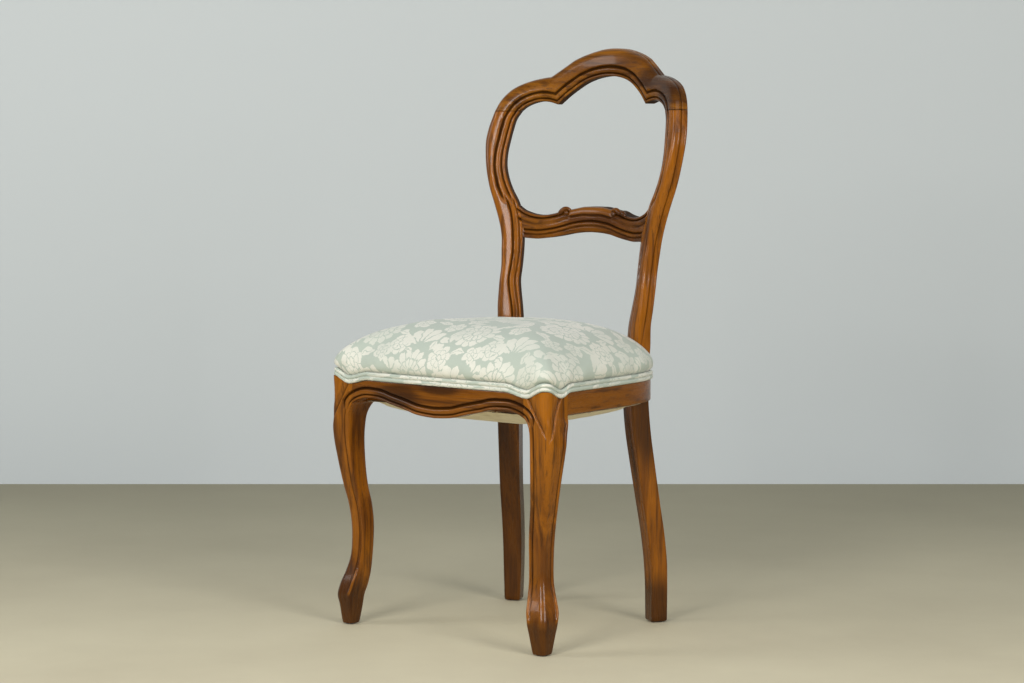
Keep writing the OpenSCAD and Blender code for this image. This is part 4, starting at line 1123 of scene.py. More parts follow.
@dataclass
class Posts:
    """The two back posts, each a rear leg and a stile in one piece."""

    shape: BackShape
    finishes: Finishes

    def rings(self) -> tuple[np.ndarray, np.ndarray]:
        """Rings of the right post from the foot up, with the depth of the carving."""
        lines, joint = self.shape, self.shape.joint_z
        heights = np.concatenate([
            [2.0, 2.6, 4.0], np.arange(10, 420, 6.0), np.arange(424, 600, 2.5), np.arange(600, 706, 1.1),
            np.arange(707, joint - 1.5, 1.8), [joint - 1.2, joint - 0.5, joint - 0.1],
        ])
        rings, depths = [], []
        for z in heights:
            _, out, inner, deep, crown = lines.post(z)[0]
            inset = 0.25 * smooth(joint - 0.8, joint - 0.1, z) + 1.2 * smooth(4.5, 2.0, z)
            a = lines.post_point(z, inset, inner + inset)
            b = lines.post_point(z, inset, out - inset)
            ring, (place, depth) = frame_section(a, b, lines.back_dir, deep - 2 * inset, max(0.0, crown))
            face = place >= 0
            near = np.maximum(smooth(686, 708, z), smooth(9.0, 4.0, place[face])) * smooth(640, 650, z)
            straight = lines.carve_low(place[face], z) * smooth(430, 470, z) * (1 - smooth(690, 712, z))
            cut = np.maximum(lines.carve(ring[face, 0], ring[face, 2]) * near, straight)
            cut *= 1 - smooth(0.86, 1.0, place[face] / max(place[face].max(), 1))
            ring[face] += cut[:, None] * lines.back_dir
            depth *= smooth(452, 466, z)
            depth[face] = cut
            rings.append(ring)
            depths.append(depth + SEAM_DIRT_AND_SHADE * float(smooth(joint - 1.0, joint - 0.1, z)))
        return np.array(rings), np.array(depths)

    def build(self) -> None:
        """Build both posts."""
        for name, rings, depths in pair("back_post", *self.rings()):
            shape = Shape()
            shape.loft(rings, depths)
            shape.finish(f"{name}_carved", self.finishes.post, (name,), 50)
        log.info("back posts")


@dataclass
class CrestRail:
    """The carved crest rail, one piece from joint to joint."""

    shape: BackShape
    finishes: Finishes

    def build(self) -> None:
        """Build the crest rail."""
        rings, depths = [], []
        lines = self.shape
        across = lines.crest_low[0][0] + lines.crest_low[0][2]
        for k, (out_x, out_z, in_x, in_z) in enumerate(lines.crest):
            back = heading(lines.turn * (out_x + in_x) / across)
            inner, outer = lines.crest_point(in_x, in_z), lines.crest_point(out_x, out_z)
            if k < 1:
                inner, outer = inner + [0.2, 0.15, 0.05], outer + [-0.2, 0.15, 0.05]
            ring, (place, depth) = frame_section(inner, outer, back, lines.stile_d, 4.0)
            face = place >= 0
            cut = lines.carve(ring[face, 0], ring[face, 2])
            cut *= 1 - smooth(0.86, 1.0, place[face] / place[face].max())
            ring[face] += cut[:, None] * back
            depth[face] = cut
            rings.append(ring)
            depths.append(depth + SEAM_DIRT_AND_SHADE * (k < 1))
        shape = Shape()
        shape.loft(doubled(np.array(rings[::-1]))[::-1], doubled(np.array(depths[::-1]))[::-1])
        shape.finish("crest_rail_carved", self.finishes.crest, ("crest_rail",), 50)
        log.info("crest rail")


# How far the mid rail's face stands out, at shares of its height.
CUSHION = ((0, -0.4), (0.06, 0.0), (0.35, 0.6), (0.75, 1.0), (0.95, 0.5), (1, -0.2))
# The curled leaves: length along the leaf, place across and up from the rosette, and thickness.
LEAF_START = (
    (0, -6.8, -3.6, 0.8), (5, -7.4, 1.4, 1.9), (10, -4.4, 5.9, 2.7), (15, 0.6, 7.6, 3.3), (20, 5.4, 6.6, 4.2),
    (25, 9.8, 3.6, 4.5),
)
LEAVES_OVER = {
    -1: LEAF_START + ((31, 14.4, -0.4, 3.6), (36, 18.2, -4.6, 1.0)),
    1: LEAF_START + (
        (30, 14.2, 2.0, 3.7), (35, 18.8, 2.4, 4.2), (40, 23.6, 0.4, 3.8), (44, 27.2, -2.6, 2.8),
        (48, 30.0, -6.0, 0.8),
    ),
}


@dataclass
class MidRail:
    """The carved mid rail with its two rosettes, curled leaves and raised cushion band."""

    shape: BackShape
    finishes: Finishes
    rosette_x: float = 52.0
    rosette_z: float = 674.5
    rosette_r: float = 5.0

    def face_y(self, x: float | np.ndarray) -> float | np.ndarray:
        """Where the rail's face is, at a place across."""
        seat = self.shape.mid_seat(660.0)
        return seat[1] + (seat[0] ** 2 - x * x) / (2 * self.shape.radius)

    def cut(self, x: np.ndarray, z: np.ndarray, low: float, high: float, share: float) -> np.ndarray:
        """Depth of the rail's carving at places of one upright section.

        Args:
            x: The places across.
            z: Their heights.
            low: Height of the rail's lower edge.
            high: Height of its upper edge.
            share: How far the section is from the middle, from 0 to 1 at the post.

        Returns:
            The depths.
        """
        far = distance_to(np.column_stack([self.shape.unroll(x), z]), self.shape.opening)
        fade = 1 - smooth(9.5, 11.0, far) * (0.85 - 0.4 * smooth(0.5, 0.92, share))
        mouldings = self.shape.carve(x, z) * smooth(0.33, 0.4, share) * fade
        down = high - z
        roll = 2.3 * hump(down, 12.8 + 2.0 * (1 - share * 3), 2.6) - 1.6 * hump(down, 6.0, 6.5)
        up = z - low
        middle = 1 - smooth(0.0, 0.75, share)
        ends = 1 - smooth(0.965, 0.99, share)
        first = 2.8 * hump(up, 14.4 + 4.6 * middle, 2.6)
        second = 1.9 * hump(up, 6.8 + 3.8 * middle, 1.9)
        bead = -0.7 * hump(up, 10.6 + 4.2 * middle, 2.8)
        notch = 2.4 * hump(up, 10.8 + 4.2 * middle, 7.0) * smooth(0.965, 0.975, share) * ends
        cushion = roll * (1 - smooth(0.31, 0.38, share))
        return mouldings + cushion + (np.maximum(first, second) + bead) * ends + notch

    def build(self) -> None:
        """Build the rail and its rosettes."""
        rings, depths = [], []
        lines, upper = self.shape, SECTION_EDGE
        behind = np.array([3.2, 6.0, 11.0, 16.0, 20.5])[:, None]
        for share in np.concatenate([np.linspace(0, 0.8, 90), np.linspace(0.8, 1.0, 60)[1:]]):
            low, high = lines.mid_base + lines.mid_h * lines.mid(share)[0]
            back = heading(lines.turn * share)
            proud = 4.0 * (1 - share * share)
            z = np.concatenate([
                high - np.linspace(0.6, upper, 30), np.linspace(high - upper, low + 0.6, 34)[1:],
            ])
            swell = np.interp((z - low) / (high - low), *np.transpose(CUSHION))
            plain = lines.mid_points(z, share)
            cut = self.cut(plain[:, 0], z, low, high, float(share))
            ring = np.vstack([
                plain + (cut - proud * swell)[:, None] * back,
                lines.mid_points(np.full(5, low), share) + behind * back,
                lines.mid_points(np.linspace(low + 1.4, high - 1.4, 8), share) + lines.stile_d * back,
                lines.mid_points(np.full(5, high), share) + behind[::-1] * back,
            ])
            rings.append(ring)
            # the rail's lower, back and top faces get painted shade
            depths.append(np.concatenate([cut, np.full(len(ring) - len(cut), REVEAL_SHADE)]))
        shape = Shape()
        shape.loft(doubled(np.array(rings)), doubled(np.array(depths)))
        for side in (1, -1):
            self.rosette(shape, side)
        shape.finish("mid_rail_carved", self.finishes.mid, ("mid_rail",), 55)
        log.info("mid rail")

    def rosette(self, shape: Shape, side: int) -> None:
        """One rosette with the leaf that curls over it.

        Args:
            shape: The rail's mesh.
            side: 1 on the right, -1 on the left.
        """
        x, z, r = self.rosette_x, self.rosette_z, self.rosette_r
        turn, reach = np.linspace(0, 2 * math.pi, 33), r + 0.6
        ring = np.column_stack([
            side * (x + reach * np.cos(turn)), np.full(33, self.face_y(x) + 0.2), z + reach * np.sin(turn),
        ])
        # the ring round the rosette is darkened with painted shade
        shape.tube(ring, np.full(33, 0.9), 8, SEAM_DIRT_AND_SHADE)
        shape.ball((side * x, self.face_y(x) - 1.0, z), (r, 4.0, r))
        rows = np.array(LEAVES_OVER[side])
        track = Spline(rows[:, 0], rows[:, 1:])
        out = track(np.linspace(rows[0, 0], rows[-1, 0], 60))
        spots = x + out[:, 0]
        path = np.column_stack([side * spots, self.face_y(spots) + 1.4, z + out[:, 1]])
        shape.tube(path, out[:, 2], 14)


# The seat frame

TACK_Z = 420.6  # height of the tacking edge above the rails
POST_SLANT = 0.5317  # how far a post's side faces lean outwards, for each millimetre back
FACE_POINTS = 29  # points along each flat face of a front leg's plain section
POST_OUTER = (149.06, 87.02)  # a point of the right post's outer face, in plan
POST_INNER = (114.19, 105.56)  # a point of its inner face
KNEE_SLOPE = 46.0  # length of the wood's line from the knee's arch to its dip's end, on the front
SIDE_SLOPE = 22.0  # the same on the side


def beaded(off: np.ndarray, groove: float) -> np.ndarray:
    """Depth of a leg's bead and groove, at places off its edge."""
    return np.clip(1.6 - off, 0, None) * 0.9 + 2.3 * hump(off, groove, 2.3) - 0.4 * hump(off, 3.6, 2.6)


@dataclass
class ApronShape:
    """Lines that the front rail and the front legs share.

    Columns of the tables:
        inner: Height, and place across of the bend between rail and leg.
        rail_rows: Share of the way to the block, and share of the drop below the seat line.
        leg_rows: Share of the height, width and depth as shares of knee_w, then how far out and
            ahead the middle lies, as shares of ankle.
    """

    foot: Pair = (210.0, -208.495)
    knee_w: float = 45.0
    ankle: float = 14.0
    block_low: Pair = (186.0, -226.495)
    block_high: Pair = (231.0, -172.495)
    block_z: float = 369.985
    seat_z: float = 409.0
    drop: float = 51.0
    bow: float = 5.0
    dip: float = 8.0
    rise: float = 4.0
    corner_r: float = 13.95
    half_corner: float = 10.96
    arch: float = 34.6
    inner: Rows = (
        (272, 194.9), (300, 197.0), (320, 198.0), (340, 197.7), (350, 197.0), (356, 195.8), (362, 193.2),
        (366.5, 189.9), (370, 186.0),
    )
    rail_rows: Rows = (
        (0, 1), (0.11, 0.98), (0.215, 0.94), (0.35, 0.82), (0.54, 0.68), (0.63, 0.60), (0.75, 0.565),
        (0.86, 0.58), (0.915, 0.63), (0.96, 0.69), (1, 0.765),
    )
    leg_rows: Rows = (
        (0, 0.49, 0.49, 0, 0), (0.035, 0.573, 0.573, 0, 0), (0.084, 0.68, 0.68, 0, 0),
        (0.125, 0.776, 0.776, 0.03, 0.03), (0.174, 0.811, 0.811, -0.2, -0.24),
        (0.232, 0.736, 0.736, -0.57, -0.6), (0.297, 0.644, 0.644, -0.87, -0.87),
        (0.378, 0.631, 0.631, -1, -1), (0.46, 0.653, 0.653, -0.97, -1), (0.539, 0.678, 0.678, -0.72, -0.87),
        (0.62, 0.707, 0.707, -0.27, -0.6), (0.734, 0.79, 0.79, 0.19, -0.35),
        (0.865, 0.887, 0.93, 0.56, -0.27), (0.93, 0.973, 1.02, 0.46, -0.39),
        (0.979, 0.955, 1.155, 0.286, -0.571), (1.0, 1.0, 1.2, -0.107, -0.643),
    )

    def __post_init__(self) -> None:
        """Work out the smooth lines."""
        rows = [
            (
                2 + (self.block_z - 2) * up, self.knee_w * wide / 2, self.knee_w * deep / 2,
                self.foot[0] + self.ankle * out, self.foot[1] - self.ankle * ahead,
            )
            for up, wide, deep, out, ahead in self.leg_rows
        ]
        self.leg = spline_table(rows + [(self.seat_z + 10, *rows[-1][1:])])
        self.rail = spline_table([
            (self.block_low[0] * r[0], self.seat_z - self.drop * r[1]) for r in self.rail_rows
        ])
        under = [(x, self.rail(x)[0][0]) for x in np.linspace(0, self.block_low[0], 80)]
        self.inner_line = spline_table(self.inner)
        bend = [(self.inner_line(z)[0][0], z) for z in np.linspace(369.5, self.inner[0][0], 50)]
        down, behind = np.linspace(self.inner[0][0] - 2, 40, 90), np.linspace(372, 40, 110)
        inner = self.leg(down)
        self.apron_line = np.vstack([under, bend, np.column_stack([inner[:, 2] - inner[:, 0], down])])
        rear = self.leg(behind)
        self.rear_line = np.column_stack([rear[:, 3] + rear[:, 1], behind])

    def knee_lift(self, far: np.ndarray, slope: float) -> np.ndarray:
        """Height of the wood's top line over the seat line.

        Args:
            far: Length along the outline from the middle of the knee's corner.
            slope: Length over which the line falls to the dip beside the knee.

        Returns:
            The height: a rounded arch over the knee between two dips.
        """
        share = np.clip(far / self.arch, 0, 1)
        arch = (self.dip + self.rise) * (0.5 + 0.5 * np.cos(math.pi * share)) ** 0.9 - self.dip
        return np.where(far < self.arch, arch, -self.dip * (1 - smooth(self.arch, self.arch + slope, far)))

    def top(self, x: np.ndarray | float) -> np.ndarray:
        """Height of the wood's top line along the front, at a place across."""
        far = self.half_corner + self.block_high[0] - self.corner_r - np.asarray(x, float)
        return self.seat_z + self.knee_lift(np.maximum(far, 0), KNEE_SLOPE)

    def side_top(self, y: np.ndarray | float) -> np.ndarray:
        """Height of the wood's top line along the side of the knee."""
        far = self.half_corner + np.asarray(y, float) - self.block_low[1] - self.corner_r
        return self.seat_z + self.knee_lift(np.maximum(far, 0), SIDE_SLOPE)

    def front_y(self, x: np.ndarray | float) -> np.ndarray:
        """Face of the bowed front rail, at a place across."""
        return self.block_low[1] - self.bow * (1 - (np.asarray(x, float) / self.block_low[0]) ** 2)

    def carve(self, x: np.ndarray, z: np.ndarray) -> np.ndarray:
        """Depth of the moulding along the lower edge of the front, and down the legs."""
        off = distance_to(np.column_stack([np.abs(x), z]), self.apron_line)
        slim = smooth(374, 346, z) * smooth(184, 190, np.abs(x))
        return MOULDING(off * (1 + slim))[:, 0] * (1 - slim) + beaded(off, 7.6) * slim


@dataclass
class FrontLegs:
    """The two cabriole front legs, with a leaf on the knee and a bead down each edge."""

    shape: ApronShape
    finishes: Finishes
    corner: float = 0.55
    leaf_tip: float = 322.0
    leaf_top: float = 400.0
    leaf_w: float = 35.0
    blend_z: float = 328.0
    top_z: float = 401.2

    def columns(self, z: float, run: float) -> np.ndarray:
        """Where the points of a ring lie, as lengths from the middle of the front corner.

        Args:
            z: Height of the ring.
            run: Length from the corner to the end of the face.

        Returns:
            The lengths, close together in the moulded edge and along the edge of the leaf.
        """
        near = min(13.0, run * 0.45)
        fixed = np.concatenate([run - np.linspace(0, near, 19), np.linspace(run - near, 0.45, 30)[1:]])
        edge = math.hypot(self.leaf_edge(z, 1.2), 3.6)
        moving = edge + np.array([-3.4, -2.3, -1.4, -0.7, 0.0, 0.7, 1.4, 2.6])
        spots = np.sort(np.concatenate([fixed, np.clip(moving, 0.1, run - 0.1)]))
        apart = np.arange(len(spots)) * 0.02
        spots = np.maximum.accumulate(spots + apart) - apart
        return np.maximum.accumulate(spots) + np.linspace(0, 0.01, len(spots))

    def leaf_edge(self, z: float, power: float) -> float:
        """Length from the corner to the edge of the leaf."""
        return self.leaf_w * max((z - self.leaf_tip) / (self.leaf_top - self.leaf_tip), 0.0) ** power

    def section(self, z: float) -> tuple[np.ndarray, np.ndarray, np.ndarray, np.ndarray]:
        """Section of the right leg.

        Args:
            z: Its height.

        Returns:
            The points, the length of each from the middle of the front corner, which face it
            is on (1 the front, 2 the corner, 3 the side, 0 the rest), and the direction into
            the wood.
        """
        lines, count = self.shape, FACE_POINTS
        hx, hy, mx, my = lines.leg(min(z, lines.block_z))[0]
        left, right, front, rear = mx - hx, mx + hx, my - hy, my + hy
        (x0, y0), (x1, y1) = lines.block_low, lines.block_high
        if z > lines.block_z:
            left, rear = x0, y1
        elif z > lines.inner[0][0]:
            left = float(lines.inner_line(z)[0][0])
        if z > self.blend_z:
            kx, ky, px, py = lines.leg(self.blend_z)[0]
            share = float(smooth(396, self.blend_z, z))
            right, front = x1 + (px + kx - x1) * share, y0 + (py - ky - y0) * share
        upper = float(smooth(344, 369, z))
        round_r = self.corner * min(hx, hy) * (1 - 0.1 * upper) + 0.4
        edge = 1.6 * (1 - upper) + 0.25
        back = 2.6 - 2.2 * upper
        turn = np.linspace(0, math.pi / 2, 40)
        sine, cosine, flats = np.sin(turn), np.cos(turn), np.ones(count)
        flat = np.vstack([
            np.column_stack([np.linspace(left + edge, right - round_r, count + 1)[:-1], front * flats]),
            np.column_stack([right - round_r * (1 - sine), front + round_r * (1 - cosine)]),
            np.column_stack([right * flats, np.linspace(front + round_r, rear - edge, count + 1)[1:]]),
        ])
        way = np.vstack([
            np.column_stack([0 * flats, flats]), np.column_stack([-sine, cosine]),
            np.column_stack([-flats, 0 * flats]),
        ])
        half = round_r * math.pi / 4
        arc = run_length(flat)
        arc -= arc[count] + half
        spots = np.concatenate([-self.columns(z, -arc[0])[::-1], self.columns(z, arc[-1])])
        points, inward = (
            np.column_stack([np.interp(spots, arc, v[:, i]) for i in (0, 1)]) for v in (flat, way)
        )
        kind = np.where(spots < -half, 1, np.where(spots > half, 3, 2))
        if z > self.blend_z:
            rear_part = smooth(front + round_r, rear, points[:, 1]) * smooth(363, 372, z) * (kind == 3)
            points[:, 0] -= (right - x1) * rear_part
        rest = np.array([
            (right - edge * 0.3, rear - edge * 0.3),
            *((x, rear) for x in np.linspace(right - edge, left + back, 8)),
            (left + back * 0.3, rear - back * 0.3),
            *((left, y) for y in np.linspace(rear - back, front + edge, 8)),
            (left + edge * 0.3, front + edge * 0.3),
        ])
        rest[:, 0] = np.minimum(rest[:, 0], points[-1, 0] - edge * 0.2)
        ring = np.vstack([points, rest])
        ring = np.column_stack([ring, np.full(len(ring), z)])
        inward = np.pad(inward, ((0, len(rest)), (0, 1)))
        return ring, np.pad(spots, (0, len(rest)), constant_values=99.0), np.pad(kind, (0, len(rest))), inward

    def leaf(self, arc: np.ndarray, z: float) -> np.ndarray:
        """Depth of the carved leaf round the front corner.

        Args:
            arc: Arc length from the corner, less than 0 on the front face.
            z: Height.

        Returns:
            The depth of the carving at each point.
        """
        edge = np.where(arc < 0, self.leaf_edge(z, 1.3), self.leaf_edge(z, 1.1))
        off = (np.abs(arc) - edge) * 0.92
        deep = np.clip(-off, 0, None)
        wide = smooth(1.0, 12.0, edge)
        arris = -0.9 * (0.25 + 0.75 * wide)
        outside = arris * np.exp(-np.clip(off, 0, None) / 4.0)
        inside = arris + 2.8 * wide * smooth(0.0, 2.4, deep) * np.exp(-np.clip(deep - 2.4, 0, None) / 6.0)
        inside = inside - 1.0 * smooth(5, 17, deep) * smooth(368, 392, z)
        inside = inside - 1.3 * np.exp(-((arc / 8.0) ** 2)) * math.exp(-(((z - 399.0) / 8.0) ** 2))
        return np.where(off > 0, outside, inside) * float(smooth(self.leaf_tip - 7, self.leaf_tip + 3, z))

    def rings(self) -> tuple[np.ndarray, np.ndarray]:
        """Rings of the right leg from the floor up, with the depth of the carving."""
        heights = np.concatenate([
            [2.0, 2.5, 3.6], np.arange(6, 130, 2.0), np.arange(130, 300, 3.0), np.arange(300, 400.8, 0.8),
            [self.top_z],
        ])
        rings, depths = [], []
        for z in list(heights) + [-1.0]:
            top = z < 0
            z = self.top_z if top else z
            ring, arc, kind, inward = self.section(z)
            cut = np.zeros(len(ring))
            face, side = kind == 1, kind == 3
            above_foot = smooth(52, 66, z)
            cut[face] = self.shape.carve(ring[face, 0], ring[face, 2]) * above_foot
            off = distance_to(ring[side][:, 1:], self.shape.rear_line)
            cut[side] = beaded(off, 7.4) * above_foot * smooth(372, 360, z)
            swell = 1.7 * hump(np.array([z]), 70.0, 26.0)[0]
            near_f = np.where(face, ring[:, 0] - ring[:, 0].min(), 99.0)
            near_s = np.where(side, ring[:, 1].max() - ring[:, 1], 99.0)
            lobe = -swell * (hump(near_f, 4.6, 6.4) + hump(near_s, 4.6, 6.4))
            carved = np.where(kind > 0, self.leaf(arc, z), 0.0) if z > self.leaf_tip - 6 else 0.0
            near_joint = smooth(186, 189, ring[:, 0]) if z > 369 else 1.0
            cut = cut + lobe + carved * near_joint
            if z < 5:
                ring[:, :2] += (np.array([self.shape.foot]) - ring[:, :2]) * (5 - z) * 0.012
            ring = ring + inward * cut[:, None]
            count = int((kind > 0).sum())
            ring[count:, 1] = np.maximum(ring[count:, 1], ring[0, 1] + 0.15)
            ring[count:, 0] = np.minimum(ring[count:, 0], ring[count - 1, 0] - 0.15)
            lift = self.top_line(arc, kind)
            ring[:, 2] += lift if top else lift * smooth(380, self.top_z, z)
            rings.append(ring)
            depths.append(cut)
        rings[-1][:, :2] += (np.mean(rings[-1][:, :2], axis=0) - rings[-1][:, :2]) * 0.12
        return np.array(rings), np.array(depths)

    def top_line(self, arc: np.ndarray, kind: np.ndarray) -> np.ndarray:
        """How far the top of the leg is above the dips of the wood's line."""
        front, side = (self.shape.knee_lift(np.abs(arc), slope) for slope in (KNEE_SLOPE, SIDE_SLOPE))
        return np.where(kind == 0, 4.0, np.where(kind == 1, front, side) + self.shape.dip)

    def build(self) -> None:
        """Build both legs, with the tacking edge above each."""
        (x0, y0), (x1, y1) = self.shape.block_low, self.shape.block_high
        for name, rings, depths in pair("front_leg", *self.rings()):
            shape = Shape()
            shape.loft(rings, depths)
            low, high = (x0, x1 - 9) if name.endswith("right") else (9 - x1, -x0)
            shape.block((low, y0 + 9, 396.0), (high, y1, TACK_Z + 0.2), 2.5)
            shape.finish(f"{name}_carved", self.finishes.leg, (name,), 50)
        log.info("front legs")


@dataclass
class FrontRail:
    """The bowed front rail with its moulded lower edge, and the strip behind it."""

    shape: ApronShape
    finishes: Finishes
    thick: float = 24.0
    strip: float = 16.0
    rebate: float = 7.0

    def build(self) -> None:
        """Build the rail."""
        rings, depths = [], []
        end, back = self.shape.block_low[0], self.shape.block_low[1] + self.thick
        for x in np.concatenate([np.linspace(0, 178, 120), np.linspace(178, end - 0.15, 9)[1:]]):
            low, high = float(self.shape.rail(x)[0][0]), float(self.shape.top(x))
            face_y = float(self.shape.front_y(x))
            moulded = low + SECTION_EDGE
            z = np.concatenate([np.linspace(low, moulded, 30), np.linspace(moulded, high - 0.3, 12)[1:]])
            cut = self.shape.carve(np.full(len(z), x), z)
            soft = 0.35 * smooth(high - 1.6, high, z)
            face = np.column_stack([np.full(len(z), x), face_y + cut + soft, z])
            rest = [(x, y, z) for y, z in (
                (face_y + self.rebate, high - 0.2), (face_y + self.rebate, TACK_Z), (back - 0.4, TACK_Z),
                (back, TACK_Z - 0.4), (back, 400.0), (back, 385.0), (back, low + 2.0), (back - 2.0, low),
                (face_y + 14.0, low), (face_y + 7.0, low), (face_y + 3.2, low),
            )]
            rings.append(np.vstack([face, rest]))
            depths.append(np.concatenate([cut, np.zeros(len(rest))]))
        shape = Shape()
        shape.loft(doubled(np.array(rings)), doubled(np.array(depths)))
        shape.block((-end + 0.2, back, 374.0), (end - 0.2, back + self.strip, TACK_Z + 0.2), 1.2)
        shape.finish("front_rail_carved", self.finishes.apron, ("front_rail",), 50)
        log.info("front rail")


@dataclass
class SideShape:
    """Outer line of the side rails, which bends round to the back of the posts."""

    start: Pair = (231.0, -172.495)
    end: Pair = (168.4, 111.0)
    run_share: float = 0.58
    bend: float = 8.0
    thick: float = 24.0
    swell: float = 26.0

    def outer(self, t: float, inset: float = 0.0, swell: float = 0.0) -> np.ndarray:
        """Point of the outer line, in plan, at a share along it.

        Args:
            t: The share.
            inset: How far the line is moved inwards.
            swell: How much further in its rear end lies.

        Returns:
            The point.
        """
        curve = self.run_share * t + (1 - self.run_share) * t**self.bend
        x = self.start[0] - inset - (self.start[0] - self.end[0] + swell) * curve
        return np.array([x, self.start[1] + (self.end[1] - self.start[1]) * t])

    def inner(self, t: float) -> np.ndarray:
        """Point of the inner line, in plan, at a share along it."""
        return self.outer(t, self.thick, self.swell)


@dataclass
class SideRails:
    """The two plain side rails, curved in plan, with the tacking edge above."""

    line: SideShape
    finishes: Finishes
    low: float = 374.0
    high: float = 409.0
    rebate: float = 7.0

    def rings(self) -> np.ndarray:
        """Rings of the right rail from front to back."""
        shares = np.concatenate([np.linspace(0.0006, 0.8, 40), np.linspace(0.8, 1.0, 30)[1:]])
        rings = []
        for t in shares:
            p = self.line.outer(t)
            d = self.line.outer(t + 0.004) - self.line.outer(t - 0.004)
            normal = np.array([d[1], -d[0]]) / np.linalg.norm(d)
            q = self.line.inner(t)
            if p[1] > 84:
                face_x = POST_OUTER[0] + (p[1] - POST_OUTER[1]) * POST_SLANT + 0.4
                q = np.array([q[0] + (max(q[0], face_x) - q[0]) * float(smooth(84, 88, p[1])), p[1]])
                q[0] = min(q[0], p[0] - 1.2)
            wide = max(float(p[0] - q[0]), 1.0)
            step = min(self.rebate, wide * 0.6)
            outer = [
                (0.0, self.low + 2.2), *((0.0, z) for z in np.linspace(self.low + 6, self.high - 1.0, 6)),
            ]
            outer += [(0.5, self.high - 0.1), (step, self.high), (step, TACK_Z - 0.6), (step + 0.6, TACK_Z)]
            inner = [(0.6, TACK_Z), (0.0, TACK_Z - 0.6), (0.0, 395.0), (0.0, self.low + 0.6), (0.6, self.low)]
            under = [(min(2.2, wide * 0.4), self.low), (0.6, self.low + 0.6)]
            rings.append([
                *((*(p - normal * min(off, wide * 0.8)), z) for off, z in outer),
                *((q[0] + off, q[1], z) for off, z in inner),
                *((*(p - normal * min(off, wide * 0.8)), z) for off, z in under),
            ])
        return np.array(rings)

    def build(self) -> None:
        """Build both rails."""
        rings = self.rings()
        for name, points, depths in pair("side_rail", rings, np.zeros(rings.shape[:2])):
            shape = Shape()
            shape.loft(points, depths)
            shape.finish(f"{name}_shaped", self.finishes.side, (name,), 40)
        log.info("side rails")


# The seat


